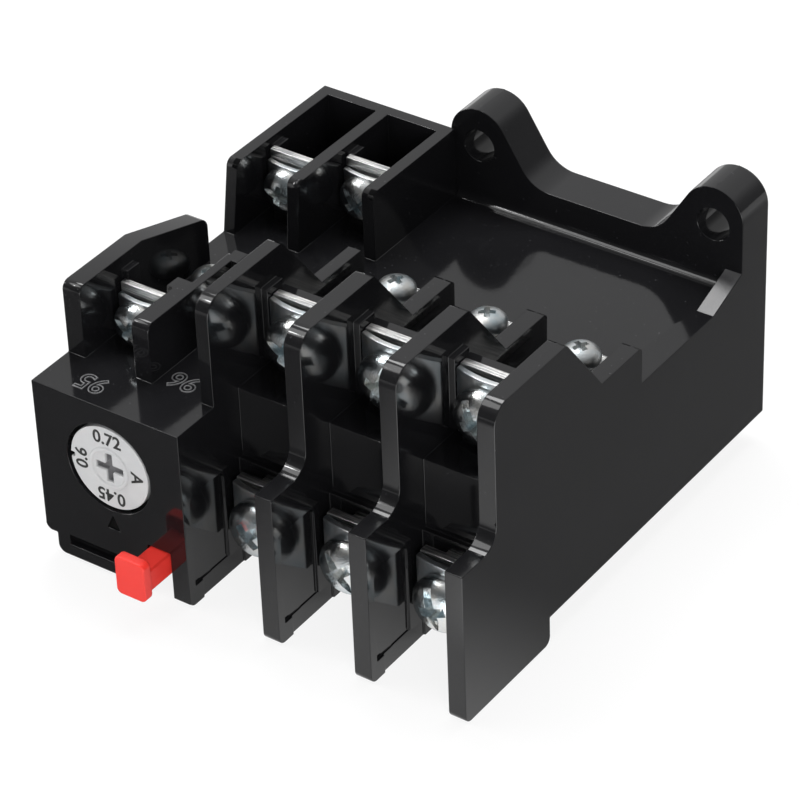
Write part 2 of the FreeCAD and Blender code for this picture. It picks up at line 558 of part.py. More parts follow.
# Auxiliary strips: middle of the bay, back of the tab, head height, right side of the leg
AUX = {
    "aux_strip_nc_first": ("(fore_bay_wall + divider_left) / 2", "aux_nc_back", "fore_aux_z",
                           "divider_left - first_bay_clear - aux_leg_inset"),
    "aux_strip_nc_second": ("(divider_left + divider_width + first_face - first_barrier) / 2",
                            "(aux_nc_back + aux_nc_step)", "fore_aux_z",
                            "partition - aux_leg_gap"),
    "aux_strip_no_first": ("(rear_bay_wall + rear_bay_mid) / 2", "aux_no_back", "rear_aux_z",
                           "rear_bay_mid - rear_bay_clear - aux_leg_inset"),
    "aux_strip_no_second": ("(rear_bay_mid + rear_bay_mid_wall + rear_bay_width"
                            " - rear_bay_wall) / 2", "(aux_no_back + aux_no_step)", "rear_aux_z",
                            "rear_bay_width - rear_bay_wall - rear_bay_clear - aux_leg_inset"),
}


def leg_box(name):
    """Where a strip's leg passes the deck: left, right, front and back."""
    _, back, _, right = AUX[name]
    return "%s - aux_leg" % right, right, "%s - aux_tab_thick" % back, back


def make_base_cover():
    body = new_body("base_cover")
    left, right = "side_wall + loose_fit", "width - side_wall - loose_fit"
    pad(body, "XY", "body_bottom", "cover_top",
        rect(left, right, "cover_front", "depth - rear_skin - loose_fit"))
    front = "(slide_front - slide_clear)"
    rail_left = "slide_left + 2 * slide_travel"
    pad(body, "XY", "cover_top - lap", "cover_top + guide_stand",
        rect(rail_left, "slide_right", front + " - slide_guide", front),
        rect(rail_left, "slide_right", "slide_rear", "slide_rear + slide_guide"))
    pad(body, "XY", "cover_top - lap", "slide_low - slide_clear",
        rect(rail_left, "slide_right", front + " - slide_guide", "slide_rear + slide_guide"))
    pad(body, "XY", "cover_top - lap", "hub_low - fit",
        ("circle", "lever_pin_x", "lever_pin_y", "hub_radius"),
        ("circle", "bar_pin_x", "bar_pin_y", "hub_radius"))
    pocket(body, "XY", "cover_top", "hub_low + lap",
           ("circle", "lever_pin_x", "lever_pin_y", "pin_radius + running_fit"),
           ("circle", "bar_pin_x", "bar_pin_y", "pin_radius + running_fit"))
    bores = [("boss_inset", "boss_y"), ("width - boss_inset", "boss_y"),
             ("width - 2 * pitch - barrier / 2", "boss_front_y")]
    pocket(body, "XY", "body_bottom - lap", "cover_top + lap",
           *[("circle", x, y, "cover_screw + fit") for x, y in bores])
    pocket(body, "XY", "body_bottom - lap", "body_bottom + cover_thick / 2",
           *[("circle", x, y, "cover_screw_head + fit") for x, y in bores])
    return body


def group(name, bodies):
    """Identical pieces as separate solids of one node."""
    whole = doc.addObject("Part::Compound", name)
    whole.Label = name
    whole.Links = bodies
    return whole


def make_cover_screws():
    bodies = []
    spots = [("boss_inset", "boss_y"), ("width - boss_inset", "boss_y"),
             ("width - 2 * pitch - barrier / 2", "boss_front_y")]
    for number, (x, y) in enumerate(spots, 1):
        body = new_body("cover_screw_%d" % number)
        turn(body, "XZ", y, (x, "body_bottom"), "V_Axis",
             [("0", "fit"), ("cover_screw_head", "fit"), ("cover_screw_head", "cover_thick / 2"),
              ("cover_screw", "cover_thick / 2"), ("cover_screw", "cover_thick + cover_thread"),
              ("0", "cover_thick + cover_thread")])
        pocket(body, "XY", "body_bottom", "body_bottom + fit + cover_slot_depth",
               rect("%s - cover_slot / 2" % x, "%s + cover_slot / 2" % x,
                    "%s - cover_slot_width / 2" % y, "%s + cover_slot_width / 2" % y))
        bodies.append(body)
    return group("cover_screws", bodies)


def cross_slot(body, plane, start, end, u, v, length, width):
    """A cross recess for a driver."""
    far, near = "(%s) / 2" % length, "(%s) / 2" % width
    steps = [(far, near), (near, near), (near, far)]
    corners = []
    for across, along in ((1, 1), (-1, 1), (-1, -1), (1, -1)):
        for one, other in (steps if across * along > 0 else steps[::-1]):
            corners.append(("%s %s %s" % (u, "+" if across > 0 else "-", one),
                            "%s %s %s" % (v, "+" if along > 0 else "-", other)))
    pocket(body, plane, start, end, corners)


def terminal_screw(name, x, seat_y, z, kind, tip):
    """A cheese head screw that faces the front; seat_y is the underside of its head."""
    body = new_body(name)
    head, height, shank = kind + "_head", kind + "_head_height", kind + "_shank"
    turn(body, "YZ", x, (seat_y, z), "H_Axis",
         [("-" + height, "0"), ("-" + height, head), ("0", head), ("0", shank), (tip, shank),
          (tip, "0")])
    face = "%s - %s" % (seat_y, height)
    cross_slot(body, "XZ", face, "%s + %s_cross_depth" % (face, kind), x, z, kind + "_cross",
               kind + "_cross_width")
    return body


def clamp_washer(name, x, tab_front, z, width, tall, thick, rise, bend, hole):
    """An arched square washer whose two ends press on the tab."""
    body = new_body(name)
    half = "(%s) / 2" % width
    low, high = "%s - (%s) / 2" % (z, tall), "%s + (%s) / 2" % (z, tall)
    pad(body, "XY", low, high,
        [("%s - %s" % (x, half), tab_front), ("%s - %s" % (x, half), "%s - %s" % (tab_front, thick)),
         (x, "%s - %s - %s" % (tab_front, thick, rise), "%s + %s" % (bend, thick)),
         ("%s + %s" % (x, half), "%s - %s" % (tab_front, thick)), ("%s + %s" % (x, half), tab_front),
         (x, "%s - %s" % (tab_front, rise), bend)])
    pocket(body, "XZ", "%s - %s - 2 * %s" % (tab_front, thick, rise), tab_front + " + lap",
           ("circle", x, z, hole))
    return body


def arch_height(width, rise, bend):
    """How far the rounded apex of a washer stands off its tab."""
    return "(%s - %s * (1 / cos(atan(2 * %s / %s)) - 1))" % (rise, bend, rise, width)


def make_main_terminals():
    """Line and load strips with their washers and screws."""
    washers, screws = [], []
    arch = arch_height("washer_width", "washer_rise", "washer_bend")
    for pole in range(3):
        x = pole_x(pole)
        half = "tab_width / 2"
        front = "(line_tab_back - tab_thick)"
        body = new_body("line_terminal_%d" % (pole + 1))
        pad(body, "XZ", front, "line_tab_back",
            rect("%s - %s" % (x, half), "%s + %s" % (x, half), "deck_top", "line_tab_height"))
        pad(body, "XY", "deck_top", "deck_top + foot_thick",
            rect("%s - foot_width / 2" % x, "%s + foot_width / 2" % x, front + " + fit",
                 "foot_end"))
        pocket(body, "XZ", front + " - lap", "line_tab_back + lap",
               ("circle", x, "line_screw_z", "main_shank + running_fit"))
        pocket(body, "XY", "deck_top - lap", "deck_top + foot_thick + lap",
               ("circle", x, "fixing_y", "fixing_shank + fit"))

        front = "(load_tab_back - tab_thick)"
        body = new_body("load_terminal_%d" % (pole + 1))
        pad(body, "XZ", front, "load_tab_back",
            rect("%s - %s" % (x, half), "%s + %s" % (x, half), "load_tab_low", "load_tab_high"))
        pad(body, "XY", "tail_low", "tail_low + tail_thick",
            rect("%s - tail_width / 2" % x, "%s + tail_width / 2" % x, front + " + fit",
                 "tail_end"))
        pocket(body, "XZ", front + " - lap", "load_tab_back + lap",
               ("circle", x, "load_screw_z", "main_shank + running_fit"))

        for row, back, z in (("line", "line_tab_back", "line_screw_z"),
                             ("load", "load_tab_back", "load_screw_z")):
            front = "(%s - tab_thick)" % back
            seat = "(%s - washer_thick - %s)" % (front, arch)
            number = "%s_%d" % (row, pole + 1)
            washers.append(clamp_washer("washer_" + number, x, front, z, "washer_width",
                                        "washer_height", "washer_thick", "washer_rise",
                                        "washer_bend", "main_shank + washer_hole"))
            screws.append(terminal_screw("screw_" + number, x, seat, z, "main",
                                         "tab_thick + washer_thick + main_tip"))
    group("main_clamp_washers", washers)
    group("main_terminal_screws", screws)


def make_aux_terminals():
    """Contact strips of the two auxiliary pairs, each with its washer and screw."""
    washers, screws = [], []
    arch = arch_height("aux_washer_width", "aux_washer_rise", "aux_washer_bend")
    for name, (x, back, z, _) in AUX.items():
        front = "(%s - aux_tab_thick)" % back
        left, right, _, _ = leg_box(name)
        second = name.endswith("second")
        closed = "_nc_" in name
        body = new_body(name)
        pad(body, "XZ", front, back,
            rect("%s - aux_tab_width / 2" % x, "%s + aux_tab_width / 2" % x, "deck_top",
                 "%s + aux_tab_rise" % z))
        tip_x = "contact_x" if closed else "(contact_x - open_gap)"
        tip_y = "(bar_pin_y %s contact_reach)" % ("-" if closed else "+")
        low = "run_low" if second else "arm_low"
        pad(body, "XZ", front, back, rect(left, right, low, "deck_top + lap"))
        run = "run_height" if second else "arm_height"
        if second:
            pad(body, "XZ", front, back, rect(tip_x, left + " + fit", low, "%s + %s" % (low, run)))
        else:
            edges = (left + " + fit", tip_x) if size(tip_x) > size(left) else (tip_x, left + " + fit")
            pad(body, "XZ", front, back, rect(edges[0], edges[1] + " + contact_arm", low,
                                              "%s + %s" % (low, run)))
        ahead = size(tip_y) < size(back)
        reach = ("%s - bridge_width / 2" % tip_y, back) if ahead else (front,
                                                                       "%s + bridge_width / 2" % tip_y)
        top = "bridge_low + arm_height" if second else "%s + %s" % (low, run)
        pad(body, "YZ", tip_x, "%s + contact_arm" % tip_x,
            [(reach[0], low), (reach[1], low), (reach[1], top), (reach[0], top)])
        tip_z = "(bridge_low + arm_height / 2)" if second else "(arm_low + arm_height / 2)"
        pad(body, "YZ", "%s + contact_arm - fit" % tip_x, "%s + contact_arm + tip_height" % tip_x,
            ("circle", tip_y, tip_z, "tip_round"))
        pocket(body, "XZ", front + " - lap", back + " + lap",
               ("circle", x, z, "aux_shank + running_fit"))
        seat = "(%s - aux_washer_thick - %s)" % (front, arch)
        washers.append(clamp_washer("washer_" + name, x, front, z, "aux_washer_width",
                                    "aux_washer_height", "aux_washer_thick", "aux_washer_rise",
                                    "aux_washer_bend", "aux_shank + washer_hole"))
        screws.append(terminal_screw("screw_" + name, x, seat, z, "aux",
                                     "aux_tab_thick + aux_washer_thick + aux_tip"))
    group("aux_clamp_washers", washers)
    group("aux_terminal_screws", screws)


def fixing_screw(name, x, y, seat_z, tip):
    """A cheese head screw standing on the deck."""
    body = new_body(name)
    turn(body, "XZ", y, (x, seat_z), "V_Axis",
         [("0", "-(%s)" % tip), ("fixing_shank", "-(%s)" % tip), ("fixing_shank", "0"),
          ("fixing_head", "0"), ("fixing_head", "fixing_head_height"),
          ("0", "fixing_head_height")])
    top = "%s + fixing_head_height" % seat_z
    cross_slot(body, "XY", top + " - fixing_cross_depth", top, x, y, "fixing_cross",
               "fixing_cross_width")
    return body


def make_fixing_screws():
    seat = "(deck_top + foot_thick)"
    tip = "foot_thick + deck_skin + flange_thick - fit"
    screws = [fixing_screw("fixing_screw_%d" % (pole + 1), pole_x(pole), "fixing_y", seat, tip)
              for pole in range(3)]
    group("heater_fixing_screws", screws)
    fixing_screw("aux_fixing_screw", "aux_fixing_x", "aux_fixing_y", "deck_top", "deck_skin")


def make_heaters():
    """Bracket, bimetal strip and winding of each pole."""
    for pole in range(3):
        x = pole_x(pole)
        body = new_body("bimetal_bracket_%d" % (pole + 1))
        pad(body, "XY", "deck_low - flange_thick", "deck_low",
            rect("%s - flange_width / 2" % x, "%s + flange_width / 2" % x,
                 "fixing_y - flange_length / 2", "fixing_y + flange_length / 2"))
        pad(body, "YZ", "%s - strip_thick / 2 - leg_thick" % x, "%s - strip_thick / 2" % x,
            rect("fixing_y - flange_length / 2", "fixing_y + flange_length / 2 - leg_step",
                 "strip_low", "deck_low - flange_thick + fit"))
        pocket(body, "XY", "deck_low - flange_thick - lap", "deck_low + lap",
               ("circle", x, "fixing_y", "fixing_shank + running_fit"))

        body = new_body("bimetal_strip_%d" % (pole + 1))
        pad(body, "YZ", "%s - strip_thick / 2" % x, "%s + strip_thick / 2" % x,
            [("strip_start", "strip_low"), ("strip_end", "strip_low", "toe_round"),
             ("strip_end", "strip_high", "toe_round"), ("strip_start", "strip_high")])

        body = new_body("heater_winding_%d" % (pole + 1))
        side, low, high = "(strip_thick / 2 + fit)", "strip_low - fit", "strip_high + fit"
        outer = "(strip_thick / 2 + fit + sleeve_wall)"
        stretch = "(winding_turns * winding_pitch)"
        pad(body, "XZ", "winding_start", "winding_start + " + stretch,
            rect("%s - %s" % (x, outer), "%s + %s" % (x, outer), low + " - sleeve_wall",
                 high + " + sleeve_wall"),
            rect("%s - %s" % (x, side), "%s + %s" % (x, side), low, high))
        for turn_number in range(int(SIZES["winding_turns"])):
            start = "winding_start + %d * winding_pitch" % turn_number
            pad(body, "XZ", start, start + " + winding_wire",
                rect("%s - %s - winding_wire" % (x, outer), "%s + %s + winding_wire" % (x, outer),
                     low + " - sleeve_wall - winding_wire", high + " + sleeve_wall + winding_wire"),
                rect("%s - %s" % (x, outer), "%s + %s" % (x, outer), low + " - sleeve_wall",
                     high + " + sleeve_wall"))


def make_slides():
    """Two insulating plates that the free ends of the strips push across the poles."""
    for number, name in enumerate(("differential_slide", "trip_slide")):
        front = "(slide_front + %d * (slide_thick + slide_gap))" % number
        body = new_body(name)
        pad(body, "XZ", front, front + " + slide_thick",
            rect("slide_left", "slide_right", "slide_low", "slide_high", "toe_round"))
        windows = []
        for pole in range(3):
            x = pole_x(pole)
            windows.append(rect("%s - strip_thick / 2 - slide_clear" % x,
                                "%s + strip_thick / 2 + slide_travel + slide_clear" % x,
                                "strip_low - slide_clear", "strip_high + slide_clear"))
        pocket(body, "XZ", front + " - lap", front + " + slide_thick + lap", *windows)
        lightening = [rect("%s + pitch / 2 - barrier" % pole_x(pole), "%s + pitch / 2 + barrier"
                           % pole_x(pole), "strip_low", "strip_high")
                      for pole in range(2)]
        pocket(body, "XZ", front + " - lap", front + " + slide_thick + lap", *lightening)


def bored_hub(body, x, y, low, high):
    pad(body, "XY", low, high, ("circle", x, y, "hub_radius"))


def bore_hub(body, x, y, low, high):
    pocket(body, "XY", low + " - lap", high + " + lap", ("circle", x, y, "pin_radius + running_fit"))


def make_levers():
    """Compensating lever, setting arm and contact bar on their two pins."""
    for name, x, y in (("lever_pin", "lever_pin_x", "lever_pin_y"),
                       ("contact_pin", "bar_pin_x", "bar_pin_y")):
        body = new_body(name)
        pad(body, "XY", "cover_top", "deck_low + pin_seat", ("circle", x, y, "pin_radius"))

    x, y = "lever_pin_x", "lever_pin_y"
    back = "(slide_front + 2 * slide_thick + slide_gap)"
    body = new_body("compensating_lever")
    pad(body, "XY", "lever_low", "lever_high",
        [("lever_pin_x - lever_thick / 2", "lever_front"),
         ("bar_pin_x - bar_thick / 2 - lever_gap", "lever_front"),
         ("bar_pin_x - bar_thick / 2 - lever_gap", "lever_front + lever_foot"),
         ("lever_pin_x + lever_thick / 2", "lever_front + lever_foot", "toe_round"),
         ("lever_pin_x + lever_thick / 2", "slide_front"),
         ("slide_left - gap", "slide_front"), ("slide_left - gap", back),
         ("lever_pin_x - lever_thick / 2", back)])
    bored_hub(body, x, y, "hub_low", "setting_arm_low - fit")
    bore_hub(body, x, y, "hub_low", "setting_arm_low")

    body = new_body("setting_arm")
    half = "setting_arm_width / 2"
    high = "setting_arm_low + setting_arm_thick"
    touch = "(dial_x - cam_radius + cam_throw - gap)"
    cam_end = "cam_front + cam_thick"
    pad(body, "XY", "setting_arm_low", high,
        [("%s - %s" % (x, half), "cam_front"), (touch, "cam_front"), (touch, cam_end),
         ("%s + %s" % (x, half), "%s + arm_shoulder" % cam_end), ("%s + %s" % (x, half), y),
         ("%s - %s" % (x, half), y)])
    bored_hub(body, x, y, "setting_arm_low", high)
    pad(body, "XY", "dial_z - arm_pad_drop", "setting_arm_low + fit",
        rect("%s - arm_pad" % touch, touch, "cam_front", cam_end))
    bore_hub(body, x, y, "setting_arm_low", high)

    x, y = "bar_pin_x", "bar_pin_y"
    body = new_body("contact_bar")
    pad(body, "XY", "lever_low", "lever_high",
        rect("%s - bar_thick / 2" % x, "%s + bar_thick / 2" % x, "%s - bar_reach" % y,
             "%s + bar_reach" % y))
    bored_hub(body, x, y, "hub_low", "hub_high")
    bore_hub(body, x, y, "hub_low", "hub_high")

    for name, sign in (("bridge_contact_nc", "-"), ("bridge_contact_no", "+")):
        body = new_body(name)
        middle = "(%s %s contact_reach)" % (y, sign)
        left = "(%s - bar_thick / 2)" % x
        pad(body, "YZ", left + " - bridge_thick", left,
            rect(middle + " - bridge_width / 2", middle + " + bridge_width / 2", "bridge_low",
                 "bridge_high"))
        pad(body, "YZ", left + " - rivet_proud", left + " - bridge_thick / 2",
            ("circle", middle, "bridge_low + arm_height / 2", "tip_round"),
            ("circle", middle, "arm_low + arm_height / 2", "tip_round"))


def make_dial():
    body = new_body("setting_dial")
    face = "dial_face"
    turn(body, "XY", "dial_z", ("dial_x", "0"), "V_Axis",
         [("0", face), ("hub_ring - hub_ring_wall", face),
          ("hub_ring - hub_ring_wall", face + " - hub_proud"),
          ("hub_ring", face + " - hub_proud"), ("hub_ring", face), ("dial_radius", face),
          ("dial_radius", face + " + dial_thick"), ("shaft_radius", face + " + dial_thick"),
          ("shaft_radius", "shaft_end"), ("0", "shaft_end")])
    cross_slot(body, "XZ", face, face + " + slot_depth", "dial_x", "dial_z", "slot_length",
               "slot_width")
    pocket(body, "XZ", face, face + " + dial_thick",
           rect("dial_x - dial_radius - lap", "dial_x - dial_radius + dial_notch",
                "dial_z - dial_notch_width / 2", "dial_z + dial_notch_width / 2"))

    body = new_body("setting_cam")
    pad(body, "XZ", "cam_front", "cam_front + cam_thick",
        ("circle", "dial_x + cam_throw", "dial_z", "cam_radius"))
    pocket(body, "XZ", "cam_front - lap", "cam_front + cam_thick + lap",
           ("circle", "dial_x", "dial_z", "shaft_radius + running_fit"))


def make_button():
    body = new_body("reset_button")
    half = "stem_size / 2"
    front = "(-button_out)"
    pad(body, "XZ", front, front + " + cap_thick",
        rect("button_x - cap_width / 2", "button_x + cap_width / 2", "cap_low", "cap_high",
             "cap_round"))
    pad(body, "XZ", front + " + cap_thick - fit", "shoulder_y",
        rect("button_x - " + half, "button_x + " + half, "button_z - " + half,
             "button_z + " + half, "stem_round"))
    pad(body, "XZ", "shoulder_y - fit", "rod_end", ("circle", "button_x", "button_z", "rod_radius"))
    pad(body, "XZ", "rod_rib + rod_rib_thick + fit", "rod_end",
        rect("button_x - rod_radius", "button_x + rod_radius", "button_z", "finger_high"))
    pad(body, "XZ", "rod_end - fit", "finger_end",
        rect("button_x - rod_radius", "button_x + rod_radius", "finger_low", "finger_high"))

    turns, wire = int(SIZES["spring_turns"]), size("spring_wire")
    length = size("rod_rib - shoulder_y") - 2 * wire
    coil = Part.makeHelix(length / turns, length, size("spring_radius"))
    corners = [Vector(size("spring_radius") + u * wire, 0, v * wire)
               for u, v in ((1, 1), (-1, 1), (-1, -1), (1, -1))]
    section = Part.makePolygon(corners + corners[:1])
    spring = doc.addObject("Part::Feature", "reset_spring")
    spring.Label = "reset_spring"
    spring.Shape = Part.Wire(coil).makePipeShell([section], True, True)
    spring.Placement = FreeCAD.Placement(
        Vector(size("button_x - mid"), size("shoulder_y - depth") + wire,
               size("button_z - ear_height")), Rotation(Vector(1, 0, 0), -90))


make_housing()
make_base_cover()
make_cover_screws()
make_main_terminals()
make_aux_terminals()
make_fixing_screws()
make_heaters()
make_slides()
make_levers()
make_dial()
make_button()

doc.recompute()
for item in doc.Objects:
    if "Invalid" in item.State or "Error" in item.State:
        raise RuntimeError("%s failed: %s" % (item.Name, item.State))

wholes = ("Part::Compound", "Part::Cut", "Part::Fuse")
for item in doc.Objects:
    if item.TypeId not in wholes + ("PartDesign::Body", "Part::Feature"):
        continue
    if any(user.TypeId in wholes for user in item.InList):
        continue
    if item.Shape.isNull() or not item.Shape.isValid():
        raise RuntimeError("%s has no valid shape" % item.Label)
    item.Shape.exportStep("parts/%s.step" % item.Label)
    print("%-24s %2d solids %9.1f mm3" % (item.Label, len(item.Shape.Solids), item.Shape.Volume))
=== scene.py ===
import json
import math

import bmesh
import bpy
from mathutils import Matrix, Vector


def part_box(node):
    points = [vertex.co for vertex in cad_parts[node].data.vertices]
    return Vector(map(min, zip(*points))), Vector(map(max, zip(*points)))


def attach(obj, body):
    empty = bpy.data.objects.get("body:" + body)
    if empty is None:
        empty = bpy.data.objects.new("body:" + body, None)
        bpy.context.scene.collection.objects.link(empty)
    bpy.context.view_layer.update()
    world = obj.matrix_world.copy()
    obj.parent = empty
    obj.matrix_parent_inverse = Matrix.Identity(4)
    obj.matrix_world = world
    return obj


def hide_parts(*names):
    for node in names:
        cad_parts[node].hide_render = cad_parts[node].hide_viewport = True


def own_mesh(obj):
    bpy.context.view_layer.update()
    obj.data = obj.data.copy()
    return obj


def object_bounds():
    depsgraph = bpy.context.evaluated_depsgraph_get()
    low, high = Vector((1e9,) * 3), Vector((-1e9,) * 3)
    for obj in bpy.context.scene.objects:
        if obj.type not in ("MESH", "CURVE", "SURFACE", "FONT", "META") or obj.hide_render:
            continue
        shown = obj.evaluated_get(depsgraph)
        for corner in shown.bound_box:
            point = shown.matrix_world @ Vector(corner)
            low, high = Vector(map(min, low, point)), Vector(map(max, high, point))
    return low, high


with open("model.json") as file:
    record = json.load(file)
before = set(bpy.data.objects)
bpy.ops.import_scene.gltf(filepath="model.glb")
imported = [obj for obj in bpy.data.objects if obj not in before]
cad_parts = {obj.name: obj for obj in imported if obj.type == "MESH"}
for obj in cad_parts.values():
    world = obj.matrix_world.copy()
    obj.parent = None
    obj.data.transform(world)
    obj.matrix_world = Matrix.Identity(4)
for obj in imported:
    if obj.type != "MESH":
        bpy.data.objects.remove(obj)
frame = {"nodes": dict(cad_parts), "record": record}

cad_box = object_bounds()


# Housing: one glossy black thermoset moulding, pressed in a polished mould, with barrier walls, deck,
# ears and bays in one piece. Its edges keep the small radius that the mould gives them, and the
# surface shows faint flow marks, dust specks and rubbed spots.
class Value:
    """A socket of a finish. Sums on it add the nodes that they need."""

    def __init__(self, finish, socket):
        self.finish, self.socket = finish, socket

    def worked(self, operation, first, second):
        return self.finish.node("ShaderNodeMath", {"operation": operation}, {0: first, 1: second})

    def __add__(self, other):
        return self.worked("ADD", self, other)

    def __radd__(self, other):
        return self.worked("ADD", other, self)

    def __sub__(self, other):
        return self.worked("SUBTRACT", self, other)

    def __rsub__(self, other):
        return self.worked("SUBTRACT", other, self)

    def __mul__(self, other):
        return self.worked("MULTIPLY", self, other)

    def __rmul__(self, other):
        return self.worked("MULTIPLY", other, self)


class Finish:
    """One procedural finish, built round a Principled BSDF."""

    def __init__(self, name, **fixed):
        self.material = bpy.data.materials.new(name)
        self.material.use_nodes = True
        self.tree = self.material.node_tree
        self.surface = self.tree.nodes["Principled BSDF"]
        for socket, value in fixed.items():
            self.surface.inputs[socket.replace("_", " ")].default_value = value

    def node(self, kind, settings, inputs, output=0):
        made = self.tree.nodes.new(kind)
        for key, value in settings.items():
            if key == "stops":
                ramp = made.color_ramp.elements
                ramp[0].position, ramp[1].position = value[0][0], value[-1][0]
                ramp[0].color, ramp[1].color = value[0][1], value[-1][1]
                for place, color in value[1:-1]:
                    ramp.new(place).color = color
            else:
                setattr(made, key, value)
        for key, value in inputs.items():
            if isinstance(value, Value):
                self.tree.links.new(value.socket, made.inputs[key])
            else:
                made.inputs[key].default_value = value
        return Value(self, made.outputs[output])

    def on_piece(self, stretch=(1, 1, 1)):
        """Object coordinates, drawn out along an axis where the grain runs that way."""
        place = self.node("ShaderNodeTexCoord", {}, {}, "Object")
        return self.node("ShaderNodeMapping", {}, {"Vector": place, "Scale": stretch})

    def along(self, axis):
        """The place on the piece along one axis, in metres."""
        return self.node("ShaderNodeSeparateXYZ", {}, {"Vector": self.on_piece()}, axis)

    def noise(self, scale, detail=3.0, stretch=(1, 1, 1)):
        return self.node("ShaderNodeTexNoise", {}, {"Vector": self.on_piece(stretch), "Scale": scale,
                                                    "Detail": detail, "Roughness": 0.55}, "Fac")

    def window(self, value, low, high):
        """0 below low, 1 above high, smooth between."""
        return self.node("ShaderNodeMapRange", {"interpolation_type": "SMOOTHSTEP"},
                         {"Value": value, "From Min": low, "From Max": high})

    def mix(self, share, first, second):
        return self.node("ShaderNodeMix", {"data_type": "RGBA"}, {0: share, 6: first, 7: second}, 2)

    def feed(self, socket, value):
        self.tree.links.new(value.socket, self.surface.inputs[socket])

    def bump(self, height, strength, distance):
        self.feed("Normal", self.node("ShaderNodeBump", {}, {"Height": height, "Strength": strength,
                                                             "Distance": distance}))


def at(x, y, z):
    """A place measured from the left foot of the front, in millimetres, as the frame has it. The
    frame starts midway between the ear bores on the rear face."""
    start = (43.3, 71.6, 35.9)
    return Vector(((x - start[0]) / 1000, (y - start[1]) / 1000, (z - start[2]) / 1000))


def in_scene(name, data):
    """A new object in the scene that holds a mesh, lamp or camera."""
    made = bpy.data.objects.new(name, data)
    bpy.context.collection.objects.link(made)
    return made


def plain_piece(name, points, faces):
    mesh = bpy.data.meshes.new(name)
    mesh.from_pydata(points, [], faces)
    return in_scene(name, mesh)


def eased(node, name, radius, narrow=0.0, parted_x=(), parted_y=()):
    """A finished copy of a CAD node: its triangles merged into faces and its edges rounded. Parting
    planes through the holes keep every face in one outline, so that the rounding stays clean."""
    solid = bmesh.new()
    solid.from_mesh(frame["nodes"][node].data)
    bmesh.ops.remove_doubles(solid, verts=solid.verts, dist=2e-6)
    for point, way in ([(at(x, 0, 0), (1, 0, 0)) for x in parted_x]
                       + [(at(0, y, 0), (0, 1, 0)) for y in parted_y]):
        made = bmesh.ops.bisect_plane(
            solid, geom=solid.verts[:] + solid.edges[:] + solid.faces[:], dist=1e-7,
            plane_co=point, plane_no=way)
        for part in made["geom_cut"]:
            if isinstance(part, bmesh.types.BMEdge):
                part.seam = True
    bmesh.ops.dissolve_limit(solid, angle_limit=math.radians(0.6), verts=solid.verts,
                             edges=solid.edges, delimit={"SEAM"})
    mesh = bpy.data.meshes.new(name)
    solid.to_mesh(mesh)
    solid.free()
    piece = in_scene(name, mesh)
    round_edges(piece, radius, narrow)
    return piece


def round_edges(piece, radius, narrow):
    """Rounds every edge that turns by more than the corner angle, unless a face beside it is too
    narrow, and keeps the flats flat. With a narrow width, shallow breaks between wide flats
    stay crisp."""
    corner, shallow = 28.0, 8.0
    wide = 0.0014
    solid = bmesh.new()
    solid.from_mesh(piece.data)
    girth = {face: 2 * face.calc_area() / max(face.calc_perimeter(), 1e-9)
             for face in solid.faces}
    weight = solid.edges.layers.float.new("bevel_weight_edge")
    for face in solid.faces:
        face.smooth = True
    for edge in solid.edges:
        if len(edge.link_faces) == 2:
            turn = math.degrees(edge.calc_face_angle(0.0))
            least = min(girth[side] for side in edge.link_faces)
            if turn > corner:
                edge[weight] = float(least > narrow)
            elif narrow and turn > shallow and least > wide:
                edge.smooth = False
    solid.to_mesh(piece.data)
    solid.free()
    bevel = piece.modifiers.new("edges", "BEVEL")
    bevel.width, bevel.segments, bevel.limit_method = radius, 2, "WEIGHT"
    bevel.use_clamp_overlap = False
    bevel.miter_outer = "MITER_ARC"
    flats = piece.modifiers.new("flats", "WEIGHTED_NORMAL")
    flats.mode, flats.weight, flats.keep_sharp = "FACE_AREA", 100, True
    settle(piece)


def settle(piece):
    """Turns a piece with modifiers into a plain mesh."""
    graph = bpy.context.evaluated_depsgraph_get()
    mesh = bpy.data.meshes.new_from_object(piece.evaluated_get(graph))
    piece.modifiers.clear()
    old, piece.data = piece.data, mesh
    bpy.data.meshes.remove(old)


def shade_by_angle(mesh):
    """Smooth shading, with a crease wherever the surface turns by more than 35 degrees."""
    for face in mesh.polygons:
        face.use_smooth = True
    mesh.set_sharp_from_angle(angle=math.radians(35.0))


def dress(piece, finish, body, slot, *nodes):
    """Gives a piece its finish and its body, and hides what it stands for. The slot is not used."""
    piece.data.materials.clear()
    piece.data.materials.append(finish.material)
    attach(piece, body)
    if nodes:
        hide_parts(*nodes)


black = Finish("black_gloss_moulding", IOR=1.5)
flow = black.noise(38.0, 3.0, (1, 1, 1.8))
dust = black.window(black.noise(2600.0, 1.0), 0.74, 0.80)
rubbed = black.window(black.noise(160.0, 5.0), 0.60, 0.78)
black.feed("Base Color", black.mix(dust * 0.5, black.mix(flow, (0.0045, 0.0045, 0.005, 1),
                                                          (0.0085, 0.0085, 0.0095, 1)),
                                   (0.06, 0.06, 0.065, 1)))
black.feed("Roughness", 0.075 + flow * 0.03 + rubbed * 0.07 + dust * 0.15)
black.bump(flow * 0.8 + black.noise(700.0, 2.0) * 0.06, 0.12, 0.0006)

hole_columns = (6.2, 8.5, 11.1, 17.9, 19.5, 25.1, 29.2, 43.4, 57.6, 61.5)
hole_rows = (5.0, 39.5)
housing = eased("housing", "housing_moulding", 0.00011, 0.00016, hole_columns, hole_rows)
dress(housing, black, "base", "black_moulding", "housing")

